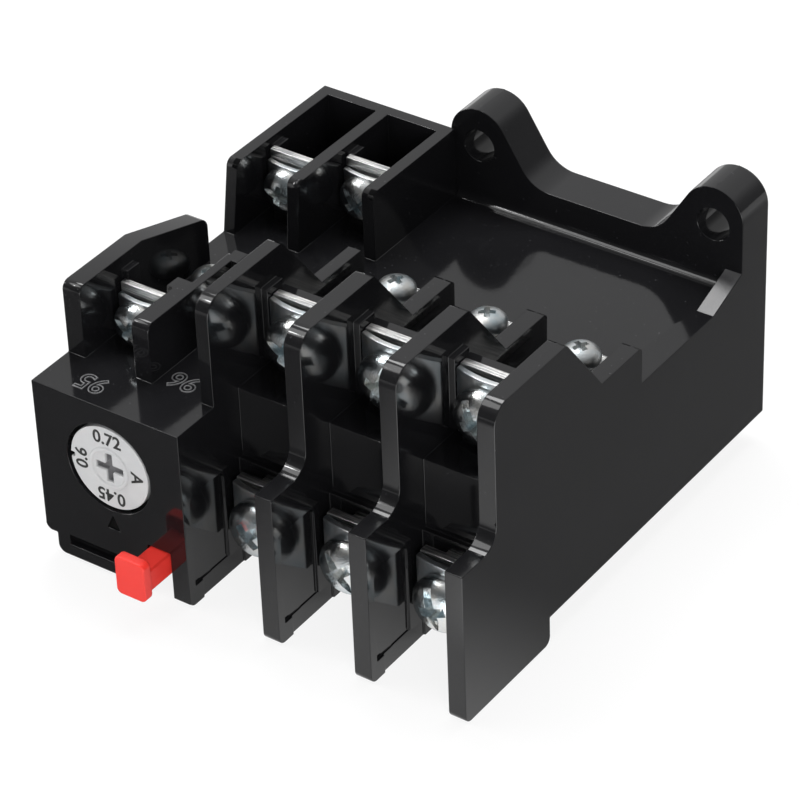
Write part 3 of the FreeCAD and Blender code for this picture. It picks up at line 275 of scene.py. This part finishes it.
# the mould's radius in the corner between the deck and the rear wall, let into both
DECK, REAR_WALL, BAYS, RAMP_LEFT = 27.2, 65.2, 21.6, 63.5
bend, let_in = 1.2, 0.1
mid_y, mid_z = REAR_WALL - bend, DECK + bend
hollow = [(mid_y + bend * math.sin(step * math.pi / 16), mid_z - bend * math.cos(step * math.pi / 16))
          for step in range(9)]
hollow += [(REAR_WALL + let_in, mid_z), (REAR_WALL + let_in, DECK - let_in), (mid_y, DECK - let_in)]
count = len(hollow)
deck_corner = plain_piece(
    "deck_corner_radius", [at(x, y, z) for x in (BAYS, RAMP_LEFT) for y, z in hollow],
    [tuple(range(count)), tuple(range(2 * count - 1, count - 1, -1))]
    + [(i, i + count, (i + 1) % count + count, (i + 1) % count) for i in range(count)])
solid = bmesh.new()
solid.from_mesh(deck_corner.data)
bmesh.ops.recalc_face_normals(solid, faces=solid.faces)
solid.to_mesh(deck_corner.data)
solid.free()
shade_by_angle(deck_corner.data)
dress(deck_corner, black, "base", "black_moulding")


# Ramp: the slope from the deck up to the rear wall on the right; its face is rougher than the deck's,
# and paler as a painted sheen. The face is a thin plate on the slope, and its lower part catches the high
# soft box.
dull = Finish("ramp_painted_sheen", IOR=1.5)
sheen_noise = dull.noise(900.0, 4.0, (1, 0.4, 1))
# painted sheen: the face's colour is paler than the deck's black
dull.feed("Base Color", dull.mix(sheen_noise, (0.010, 0.010, 0.011, 1), (0.035, 0.035, 0.037, 1)))
dull.feed("Roughness", 0.16 + sheen_noise * 0.10)
dull.bump(sheen_noise, 0.15, 0.0002)
ramp_right, ramp_front, ramp_foot, ramp_head = 65.9, 58.1, DECK + 0.01, DECK + 2.51
slope = [at(RAMP_LEFT, ramp_front, ramp_foot), at(ramp_right, ramp_front, ramp_foot),
         at(ramp_right, REAR_WALL, ramp_head), at(RAMP_LEFT, REAR_WALL, ramp_head)]
ramp = plain_piece(
    "rubbed_ramp_face",
    [corner + Vector((0, 0, lift)) for lift in (0.00003, -0.0002) for corner in slope],
    [(0, 1, 2, 3), (7, 6, 5, 4)] + [(i, i + 4, (i + 1) % 4 + 4, (i + 1) % 4) for i in range(4)])
dress(ramp, dull, "base", "black_moulding")


# Pointer mark: a triangle sunk in the front under the dial. Its bottom is a dark, matt sheet with little
# shine, painted shade that keeps it dark where the polished front shines.
# painted shade: a dark sheet with little shine lies on the bottom of the mark
shade_sheet = Finish("mark_bottom_painted_shade", Specular_IOR_Level=0.1)
tooth = shade_sheet.noise(2200.0, 2.0)
shade_sheet.feed("Base Color", shade_sheet.mix(tooth, (0.003, 0.003, 0.003, 1), (0.008, 0.008, 0.008, 1)))
shade_sheet.feed("Roughness", 0.8 + tooth * 0.15)
mark = [(10.54, 8.03), (12.66, 8.03), (11.6, 10.12)]
mark_bottom, mark_seat = 0.3, 0.62
pointer = plain_piece(
    "pointer_mark_bottom", [at(x, y, z) for y in (mark_bottom, mark_seat) for x, z in mark],
    [(0, 1, 2), (5, 4, 3), (0, 3, 4, 1), (1, 4, 5, 2), (2, 5, 3, 0)])
dress(pointer, shade_sheet, "base", "black_moulding")


# Raised bay numbers: moulded with the deck in front of the first auxiliary bays, read from behind.
# Each figure is a thin ridge along its outline, paler than the housing as a painted highlight on its edges.
def lettering(name, text, height, thickness, place, across, up, weight, line=0.0):
    """Plain figures as a mesh, standing on a plane given by two directions. With a line radius
    they are round ridges along the outlines of the figures."""
    curve = bpy.data.curves.new(name, "FONT")
    figure_share = 0.72  # of the font's size
    curve.body, curve.size = text, height / 1000 / figure_share
    curve.extrude, curve.offset = thickness / 2000, weight / 1000
    if line:
        curve.fill_mode, curve.bevel_depth, curve.bevel_resolution = "NONE", line / 1000, 2
    curve.align_x, curve.align_y = "CENTER", "CENTER"
    curve.resolution_u = 6
    source = in_scene(name, curve)
    graph = bpy.context.evaluated_depsgraph_get()
    mesh = bpy.data.meshes.new_from_object(source.evaluated_get(graph))
    bpy.data.objects.remove(source)
    lows = [min(v.co[i] for v in mesh.vertices) for i in range(2)]
    highs = [max(v.co[i] for v in mesh.vertices) for i in range(2)]
    mesh.transform(Matrix.Translation((-(lows[0] + highs[0]) / 2, -(lows[1] + highs[1]) / 2, 0)))
    across, up = Vector(across).normalized(), Vector(up).normalized()
    turn = Matrix((across, up, across.cross(up))).transposed().to_4x4()
    mesh.transform(Matrix.Translation(place) @ turn)
    return in_scene(name, mesh)


ridge = Finish("number_ridge_painted_highlight", IOR=1.5)
ridge_highlight_noise = ridge.noise(1500.0, 3.0)
# painted highlight: the ridges are coloured paler than the housing
ridge.feed("Base Color", ridge.mix(ridge_highlight_noise, (0.03, 0.03, 0.032, 1), (0.17, 0.17, 0.175, 1)))
ridge.feed("Roughness", 0.22 + ridge_highlight_noise * 0.2)
for label, x, y in (("95", 7.2, 3.5), ("96", 16.9, 9.9)):
    raised = lettering("bay_number_" + label, label, height=3.2, thickness=0.0, place=at(x, y, DECK + 0.02),
                       across=(-1, 0, 0), up=(0, -1, 0), weight=0.04, line=0.10)
    dress(raised, ridge, "base", "black_moulding")


# Terminal strips: punched and bent from plated sheet, brushed along their length by the rolling.
# The line strips stand up behind the clamp washers and run back over the deck to the fixing screws.
plated = Finish("plated_strip", Metallic=1.0)
grain = plated.noise(3600.0, 4.0, (0.06, 1, 1))
tint = plated.noise(120.0, 2.0)
streaks = plated.window(grain, 0.36, 0.60)
plated.feed("Base Color", plated.mix(tint * 0.3 + streaks * 0.7, (0.36, 0.37, 0.38, 1),
                                     (0.96, 0.95, 0.93, 1)))
plated.feed("Roughness", 0.20 + grain * 0.22)
plated.bump(grain, 0.6, 0.0002)
for node in ([row + "_terminal_%d" % pole for row in ("line", "load") for pole in (1, 2, 3)]
             + ["aux_strip_nc_first", "aux_strip_nc_second", "aux_strip_no_first",
                "aux_strip_no_second"]):
    strip = eased(node, node + "_punched", 0.00012)
    dress(strip, plated, "base", "plated_strip", node)


# Clamp washers: square plates arched along the middle, zinc plated, so their crowned faces throw
# long soft highlights. Handling leaves them slightly blue and yellow in places.
zinc = Finish("bright_zinc", Metallic=1.0)
cloud = zinc.noise(260.0, 3.0)
scuff = zinc.noise(1500.0, 5.0, (1, 1, 0.25))
zinc.feed("Base Color", zinc.node("ShaderNodeValToRGB", {"stops": [
    (0.30, (0.68, 0.76, 0.80, 1)), (0.48, (0.82, 0.85, 0.87, 1)), (0.60, (0.90, 0.90, 0.88, 1)),
    (0.72, (0.80, 0.86, 0.87, 1))]}, {0: cloud}))
zinc.feed("Roughness", 0.22 + scuff * 0.22)
zinc.bump(scuff * 0.8 + cloud * 0.4, 0.25, 0.0002)
for node in ("main_clamp_washers", "aux_clamp_washers"):
    washers = eased(node, node + "_pressed", 0.00016)
    dress(washers, zinc, "base", "zinc_washers", node)


# Terminal screws: cold headed steel, zinc plated, with a round pan head, a driver cross and a slot
# across it. Each stopped at its own angle when it was driven in. The fixing screws have a shallow
# cross alone.
def lathe(name, profile):
    """A closed turned piece about the Y axis, from (radius, y) pairs in millimetres."""
    turned = bmesh.new()
    corners = [turned.verts.new((r / 1000, y / 1000, 0)) for r, y in profile]
    edges = [turned.edges.new(pair) for pair in zip(corners, corners[1:])]
    bmesh.ops.spin(turned, geom=corners + edges, cent=(0, 0, 0), axis=(0, 1, 0),
                   angle=2 * math.pi, steps=48)
    bmesh.ops.remove_doubles(turned, verts=turned.verts, dist=1e-6)
    bmesh.ops.recalc_face_normals(turned, faces=turned.faces)
    mesh = bpy.data.meshes.new(name)
    turned.to_mesh(mesh)
    turned.free()
    return in_scene(name, mesh)


def cutter(name, boxes):
    """Blocks to cut with, each (low corner, high corner, share left at the bottom) in millimetres."""
    block = bmesh.new()
    for low, high, share in boxes:
        made = bmesh.ops.create_cube(block, size=1.0)["verts"]
        for corner in made:
            deep = corner.co.y > 0
            spot = [low[i] + (corner.co[i] + 0.5) * (high[i] - low[i]) for i in range(3)]
            if deep:
                spot[0], spot[2] = spot[0] * share, spot[2] * share
            corner.co = [value / 1000 for value in spot]
    mesh = bpy.data.meshes.new(name)
    block.to_mesh(mesh)
    block.free()
    return in_scene(name, mesh)


def cut(piece, tools):
    """Cuts the tools out of the piece and deletes them."""
    for tool in tools:
        step = piece.modifiers.new("cut", "BOOLEAN")
        step.operation, step.object, step.solver = "DIFFERENCE", tool, "EXACT"
    settle(piece)
    for tool in tools:
        bpy.data.objects.remove(tool)


def pan_screw(name, radius, height, shank, length, left=0.3, slotted=True):
    """A screw with its head's underside at y 0, facing -Y. The cross leaves a share of the head's
    height uncut."""
    crown = 0.74 * height
    profile = [(0, -height)]
    for step in range(1, 13):
        angle = math.pi / 2 * step / 12
        profile.append((radius * math.sin(angle) ** 0.85, -height + crown * (1 - math.cos(angle))))
    profile += [(radius, -0.12 * height), (radius - 0.1, 0), (shank, 0)]
    pitch = 0.5
    turns = int(length / pitch)
    for step in range(turns):
        start = length - (turns - step) * pitch
        profile += [(shank, start + 0.08 * pitch), (shank - 0.22, start + 0.5 * pitch)]
    profile += [(shank - 0.05, length - 0.1), (shank - 0.35, length), (0, length)]
    screw = lathe(name, profile)
    bar, thin, slot, slot_floor = 0.62 * radius, 0.2 * radius, 0.14 * radius, -0.74 * height
    tools = [cutter(name + "_cross", [((-thin, -height - 1, -bar), (thin, -left * height, bar), 0.45)]),
             cutter(name + "_cross_2", [((-bar, -height - 1, -thin), (bar, -left * height, thin), 0.45)])]
    if slotted:
        tools.append(cutter(name + "_slot", [((-radius - 1, -height - 1, -slot),
                                              (radius + 1, slot_floor, slot), 1.0)]))
    cut(screw, tools)
    return screw


def set_out(name, pattern, places, finish):
    """Copies of a pattern piece at places, each (point, turn about the screw's axis)."""
    marks = bpy.data.meshes.new(name + "_marks")
    marks.from_pydata([tuple(point) for point, _ in places], [], [])
    turns = marks.attributes.new("facing", "FLOAT_VECTOR", "POINT")
    for index, (_, turn) in enumerate(places):
        turns.data[index].vector = (0.0, turn, 0.0)
    holder = in_scene(name, marks)

    tree = bpy.data.node_groups.new(name + "_rows", "GeometryNodeTree")
    face = tree.interface
    face.new_socket("Geometry", in_out="INPUT", socket_type="NodeSocketGeometry")
    pick = face.new_socket("Pattern", in_out="INPUT", socket_type="NodeSocketObject")
    look = face.new_socket("Finish", in_out="INPUT", socket_type="NodeSocketMaterial")
    face.new_socket("Geometry", in_out="OUTPUT", socket_type="NodeSocketGeometry")
    into = tree.nodes.new("NodeGroupInput")
    out = tree.nodes.new("NodeGroupOutput")
    info = tree.nodes.new("GeometryNodeObjectInfo")
    facing = tree.nodes.new("GeometryNodeInputNamedAttribute")
    facing.data_type = "FLOAT_VECTOR"
    facing.inputs["Name"].default_value = "facing"
    copies = tree.nodes.new("GeometryNodeInstanceOnPoints")
    real = tree.nodes.new("GeometryNodeRealizeInstances")
    paint = tree.nodes.new("GeometryNodeSetMaterial")
    for start, end in ((into.outputs["Geometry"], copies.inputs["Points"]),
                       (into.outputs["Pattern"], info.inputs["Object"]),
                       (info.outputs["Geometry"], copies.inputs["Instance"]),
                       (facing.outputs["Attribute"], copies.inputs["Rotation"]),
                       (copies.outputs["Instances"], real.inputs["Geometry"]),
                       (real.outputs["Geometry"], paint.inputs["Geometry"]),
                       (into.outputs["Finish"], paint.inputs["Material"]),
                       (paint.outputs["Geometry"], out.inputs["Geometry"])):
        tree.links.new(start, end)
    rows = holder.modifiers.new("rows", "NODES")
    rows.node_group = tree
    rows[pick.identifier] = pattern
    rows[look.identifier] = finish.material
    settle(holder)
    bpy.data.objects.remove(pattern)
    return holder


def screw_finish(name, bright, rough):
    """Zinc on a headed screw, with bluish patches and the fine marks of the driver and the bin."""
    made = Finish(name, Metallic=1.0)
    blue, marks = made.noise(420.0, 2.0), made.noise(2600.0, 5.0)
    pale = [tuple(bright * part for part in shade) + (1,)
            for shade in ((0.66, 0.76, 0.80), (0.84, 0.87, 0.88), (0.90, 0.90, 0.87),
                          (0.76, 0.83, 0.84))]
    made.feed("Base Color", made.node("ShaderNodeValToRGB", {"stops": list(zip(
        (0.30, 0.50, 0.62, 0.75), pale))}, {0: blue}))
    made.feed("Roughness", rough + marks * 0.20)
    made.bump(marks * 0.7 + blue * 0.4, 0.3, 0.0002)
    return made


screw_zinc = screw_finish("screw_zinc", 0.95, 0.12)
satin_zinc = screw_finish("satin_zinc", 0.72, 0.30)

POLES = (29.2, 43.4, 57.6)
LINE_ROW = (17.875, 33.0, (0.35, 1.9, 1.1))  # seat of the heads, height, turns from left to right
LOAD_ROW = (7.975, 10.6, (2.4, 0.9, 1.25))
pan = pan_screw("main_screw", radius=4.0, height=2.9, shank=2.0, length=4.5)
shade_by_angle(pan.data)
main_screws = set_out("main_screws_driven", pan, [
    (at(x, seat, z), turn) for seat, z, turns in (LINE_ROW, LOAD_ROW) for x, turn in zip(POLES, turns)],
    screw_zinc)
dress(main_screws, screw_zinc, "base", "zinc_screws", "main_terminal_screws")

pan = pan_screw("aux_screw", radius=3.2, height=2.4, shank=1.6, length=3.8)
shade_by_angle(pan.data)
aux_screws = set_out("aux_screws_driven", pan, [
    (at(6.9, 13.817, 30.4), 0.5), (at(17.5, 22.817, 30.4), 1.4),
    (at(5.8, 47.817, 32.1), 0.2), (at(15.7, 51.417, 32.1), 0.9)], screw_zinc)
dress(aux_screws, screw_zinc, "base", "zinc_screws", "aux_terminal_screws")

turn_down = Matrix.Rotation(-math.pi / 2, 4, "X")
for name, node, length, spots in (
        ("fixing_screws_driven", "heater_fixing_screws", 5.1,
         [(at(x, 39.5, 28.4), turn) for x, turn in zip(POLES, (0.4, 1.0, 2.0))]),
        ("aux_fixing_screw_driven", "aux_fixing_screw", 2.4, [(at(6.2, 29.8, DECK), 0.7)])):
    dome = pan_screw(name + "_pattern", radius=2.7, height=2.2, shank=1.5, length=length, left=0.6,
                     slotted=False)
    shade_by_angle(dome.data)
    driven = set_out(name, dome, spots, satin_zinc)
    for vertex in driven.data.vertices:
        centre = min([spot for spot, _ in spots], key=lambda spot: abs(spot.x - vertex.co.x))
        vertex.co = centre + turn_down @ (vertex.co - centre)
    dress(driven, satin_zinc, "base", "zinc_screws", node)


# Setting dial: a moulded white disc with a raised, cross slotted hub, and plain black figures
# printed round it for the current that it is set to. The bottom of the slots is darkened with painted
# shade.
white = Finish("white_dial_moulding", IOR=1.48)
soft = white.noise(300.0, 3.0)
DIAL = (11.6, 17.7)
hub = at(DIAL[0], 0.2, DIAL[1])
hub_outer, hub_inner = 0.0026, 0.0024
# painted shade: the base colour turns dark grey deep in the hub's slots
deep = white.window(white.along("Y"), hub.y + 0.0002, hub.y + 0.0005)
off_x, off_z = white.along("X") - hub.x, white.along("Z") - hub.z
slot_painted_shade = deep * white.window(off_x * off_x + off_z * off_z, hub_outer ** 2, hub_inner ** 2)
white.feed("Base Color", white.mix(slot_painted_shade, white.mix(soft, (0.46, 0.47, 0.48, 1), (0.56, 0.56, 0.56, 1)),
                                   (0.17, 0.17, 0.175, 1)))
white.feed("Roughness", 0.38 + soft * 0.15)
white.bump(soft, 0.1, 0.0001)
dial = eased("setting_dial", "dial_disc", 0.0001)
dress(dial, white, "dial", "white_dial", "setting_dial")

ink = Finish("black_dial_print")
wear = ink.noise(1800.0, 3.0)
ink.feed("Base Color", ink.mix(wear, (0.01, 0.01, 0.01, 1), (0.05, 0.05, 0.05, 1)))
ink.feed("Roughness", 0.45 + wear * 0.2)
reach = 4.5  # from the dial's middle to the middle of a figure
for figure, angle in (("0.72", 90), ("0.6", 180), ("0.45", 270), ("A", 0)):
    way = Vector((math.cos(math.radians(angle)), 0, math.sin(math.radians(angle))))
    across = Vector((way.z, 0, -way.x))
    print_spot = at(DIAL[0] + way.x * reach, 0.19, DIAL[1] + way.z * reach)
    printed = lettering("dial_figure_" + figure.replace(".", "_"), figure, height=1.9, thickness=0.03,
                        place=print_spot, across=across, up=way, weight=0.055)
    dress(printed, ink, "dial", "white_dial")


# Reset button: a square cap on a square stem, moulded in one piece in bright red. The stem slides
# in a hole in the front, and the edges keep the small radius of the mould.
red = Finish("red_button_moulding", IOR=1.5)
shade = red.noise(240.0, 3.0)
red.feed("Base Color", red.mix(shade, (0.76, 0.032, 0.024, 1), (0.88, 0.048, 0.036, 1)))
red.feed("Roughness", 0.28 + shade * 0.15)
red.bump(shade, 0.1, 0.0001)
button = eased("reset_button", "reset_button_cap", 0.0002)
dress(button, red, "button", "red_button", "reset_button")


# Reset spring: a coil of drawn spring wire behind the button, left in its CAD shape on the base.
def plain_finish(name, first, second, rough, metallic, scale, stretch=(1, 1, 1)):
    """An uneven mix of two colours with a roughness of its own, for pieces that lie out of sight."""
    made = Finish(name, Metallic=metallic)
    spread = made.noise(scale, 4.0, stretch)
    made.feed("Base Color", made.mix(spread, first + (1,), second + (1,)))
    made.feed("Roughness", rough + spread * 0.2)
    made.bump(spread, 0.12, 0.0001)
    return made


spring_wire = plain_finish("spring_wire", (0.42, 0.42, 0.43), (0.6, 0.6, 0.6), 0.25, 1.0, 900.0)
coil = in_scene("reset_spring_coil", frame["nodes"]["reset_spring"].data.copy())
shade_by_angle(coil.data)
dress(coil, spring_wire, "base", "spring_steel", "reset_spring")
low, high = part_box("reset_spring")
press = next(joint for joint in frame["record"]["behaviour"]["joints"] if joint["name"] == "reset_press")
1 - press["range_m"][1] / (high.y - low.y)
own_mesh(coil)


# Inner mechanism: the other pieces under the deck keep their CAD shapes and get plain working
# finishes, rolled, drawn or moulded as each is made.
finishes = {
    "black_cover": plain_finish("cover_moulding", (0.008, 0.008, 0.009), (0.02, 0.02, 0.021),
                                0.3, 0.0, 300.0),
    "slide_laminate": plain_finish("slide_laminate", (0.12, 0.05, 0.02), (0.22, 0.10, 0.04),
                                   0.45, 0.0, 500.0, (0.1, 1, 1)),
    "lever_moulding": plain_finish("lever_moulding", (0.55, 0.50, 0.38), (0.66, 0.61, 0.48),
                                   0.4, 0.0, 350.0),
    "cam_moulding": plain_finish("cam_moulding", (0.62, 0.62, 0.60), (0.72, 0.72, 0.70),
                                 0.4, 0.0, 350.0),
    "bracket_steel": plain_finish("bracket_steel", (0.48, 0.48, 0.48), (0.62, 0.62, 0.6), 0.3, 1.0,
                                  500.0),
    "bimetal": plain_finish("bimetal_sheet", (0.5, 0.45, 0.38), (0.62, 0.57, 0.5), 0.3, 1.0, 500.0,
                            (1, 0.1, 1)),
    "heater_wire": plain_finish("heater_wire", (0.25, 0.23, 0.2), (0.42, 0.4, 0.36), 0.4, 1.0,
                                700.0),
    "pin_steel": plain_finish("pin_steel", (0.5, 0.5, 0.5), (0.66, 0.66, 0.66), 0.2, 1.0, 800.0),
    "contact_silver": plain_finish("contact_silver", (0.7, 0.68, 0.64), (0.82, 0.8, 0.76), 0.2,
                                   1.0, 600.0),
    "zinc_screws": screw_zinc,
}
for entry in frame["record"]["subparts"]:
    held = frame["nodes"][entry["node"]]
    if not held.hide_render:
        chosen = finishes[entry["material_slot"]].material
        held.data.materials.clear()
        held.data.materials.append(chosen)


# Floor: a wide pale sheet under the barrier walls' feet. It shows white to the lens and keeps a soft
# shadow. To the gloss of the part it is brightest in front on the right, fair some way behind and on
# the left, and dim elsewhere. From below it lets the lens through, so that the underside can be seen.
floor_z = cad_box[0].z
floor = plain_piece("floor_sheet", [(-3, -3, floor_z), (3, -3, floor_z), (3, 3, floor_z), (-3, 3, floor_z)],
                    [(0, 1, 2, 3)])
# a mix takes shares up to 1, so the strength is 1 / 0.3 and the shine is taken times 0.3
paper = Finish("pale_floor", Roughness=0.9, Emission_Strength=3.3333)
gleam = paper.node("ShaderNodeLightPath", {}, {}, "Is Glossy Ray")
ahead = paper.window(paper.along("Y"), -0.042, -0.077)
beside = paper.window(paper.along("X"), -0.038, 0.0)
right_front = paper.window(paper.along("X"), 0.0, 0.03) * paper.window(paper.along("Y"), -0.082, -0.095)
behind = paper.window(paper.along("Y"), 0.045, 0.13)
on_left = paper.window(paper.along("X"), -0.08, -0.15)
shine = gleam * (0.13 + (1 - ahead) * 0.08 + ahead * beside * 0.80 + right_front * 2.0
                 + behind * 0.55 + on_left * 0.40)
paper.feed("Base Color", paper.mix(gleam, (0.8, 0.8, 0.8, 1), (0, 0, 0, 1)))
paper.feed("Emission Color", paper.mix(shine * 0.3, (0, 0, 0, 1), (1, 1, 1, 1)))
path = paper.tree.nodes.new("ShaderNodeLightPath")
glow = paper.tree.nodes.new("ShaderNodeEmission")
glow.inputs["Strength"].default_value = 1.0
blend = paper.tree.nodes.new("ShaderNodeMixShader")
seen = Value(paper, path.outputs["Is Camera Ray"])
paper.tree.links.new((seen * 0.86).socket, blend.inputs[0])
paper.tree.links.new(paper.surface.outputs[0], blend.inputs[1])
paper.tree.links.new(glow.outputs[0], blend.inputs[2])
under = paper.node("ShaderNodeNewGeometry", {}, {}, "Backfacing")
clear = paper.tree.nodes.new("ShaderNodeBsdfTransparent")
through = paper.tree.nodes.new("ShaderNodeMixShader")
paper.tree.links.new(under.socket, through.inputs[0])
paper.tree.links.new(blend.outputs[0], through.inputs[1])
paper.tree.links.new(clear.outputs[0], through.inputs[2])
paper.tree.links.new(through.outputs[0], paper.tree.nodes["Material Output"].inputs[0])
floor.data.materials.append(paper.material)


# Light: a pale room, bright behind and above and dim in front and on the right, soft boxes above and
# on three sides, and a small lamp at the front left that sets sparks on edges and screw heads.
world = bpy.data.worlds.new("pale_room")
bpy.context.scene.world = world
world.use_nodes = True
room = world.node_tree
backdrop = room.nodes["Background"]
backdrop.inputs[0].default_value = (1, 1, 1, 1)
path = room.nodes.new("ShaderNodeLightPath")
place = room.nodes.new("ShaderNodeTexCoord")
side = room.nodes.new("ShaderNodeVectorMath")
side.operation = "DOT_PRODUCT"
side.inputs[1].default_value = (0.0, 0.75, 0.66)
parts = room.nodes.new("ShaderNodeSeparateXYZ")
fade, dim_right = room.nodes.new("ShaderNodeMapRange"), room.nodes.new("ShaderNodeMapRange")
dim_right.interpolation_type = "SMOOTHSTEP"
for step, limits in ((fade, (-0.3, 0.8, 0.12, 0.69)), (dim_right, (0.30, 0.70, 1.0, 0.30))):
    for socket, value in zip(("From Min", "From Max", "To Min", "To Max"), limits):
        step.inputs[socket].default_value = value
both = room.nodes.new("ShaderNodeMath")
both.operation = "MULTIPLY"
choose = room.nodes.new("ShaderNodeMix")
choose.inputs[3].default_value = 1.0
room.links.new(place.outputs["Generated"], side.inputs[0])
room.links.new(side.outputs["Value"], fade.inputs["Value"])
room.links.new(path.outputs["Is Camera Ray"], choose.inputs[0])
room.links.new(place.outputs["Generated"], parts.inputs[0])
room.links.new(parts.outputs["X"], dim_right.inputs["Value"])
room.links.new(fade.outputs["Result"], both.inputs[0])
room.links.new(dim_right.outputs["Result"], both.inputs[1])
room.links.new(both.outputs[0], choose.inputs[2])
room.links.new(choose.outputs[0], backdrop.inputs[1])


def soft_box(name, offset, size, power, in_gloss=True):
    """A lamp at an offset from the part's middle, aimed at it. Out of gloss it leaves no reflection."""
    centre = (cad_box[0] + cad_box[1]) / 2
    lamp = bpy.data.lights.new(name, "AREA")
    lamp.shape, lamp.size, lamp.size_y = "RECTANGLE", size[0], size[1]
    lamp.energy = power
    holder = in_scene(name, lamp)
    holder.location = centre + Vector(offset)
    holder.visible_glossy = in_gloss
    holder.rotation_euler = (centre - holder.location).to_track_quat("-Z", "Y").to_euler()


soft_box("top_box", (-0.05, 0.20, 0.50), (0.40, 0.30), 3.2, in_gloss=False)
soft_box("front_box", (-0.30, -0.18, 0.51), (0.26, 0.26), 0.7)
soft_box("spark_box", (-0.31, -0.24, 0.48), (0.03, 0.03), 0.12)
soft_box("high_box", (-0.22, 0.15, 0.54), (0.16, 0.16), 0.66)
soft_box("left_box", (-0.46, -0.12, 0.16), (0.12, 0.22), 0.9)
soft_box("right_box", (0.40, -0.42, 0.25), (0.30, 0.30), 2.4, in_gloss=False)


# Camera: the view of the photograph, from the front right and above, with a long lens at half a
# metre. Its place and focal length were fitted to the housing's edges.
azimuth, elevation, roll, distance = 0.63, 0.62, -0.04, 0.49366
target = at(37.68, 27.71, 21.64)
back = Vector((math.sin(azimuth) * math.cos(elevation), -math.cos(azimuth) * math.cos(elevation),
               math.sin(elevation)))
right = Vector((math.cos(azimuth), math.sin(azimuth), 0))
up = back.cross(right)
rolled_right = right * math.cos(roll) + up * math.sin(roll)
rolled_up = up * math.cos(roll) - right * math.sin(roll)
lens = bpy.data.cameras.new("photo_camera")
photo_width, focal_length, sensor = 800, 3857.87, 36.0  # pixels, pixels, millimetres
lens.sensor_width, lens.lens = sensor, focal_length / photo_width * sensor
lens.clip_start, lens.clip_end = 0.01, 20.0
camera = in_scene("photo_camera", lens)
frame_matrix = Matrix((rolled_right, rolled_up, back)).transposed().to_4x4()
camera.matrix_world = Matrix.Translation(target + back * distance) @ frame_matrix
bpy.context.scene.camera = camera
bpy.context.scene.view_settings.view_transform = "Standard"
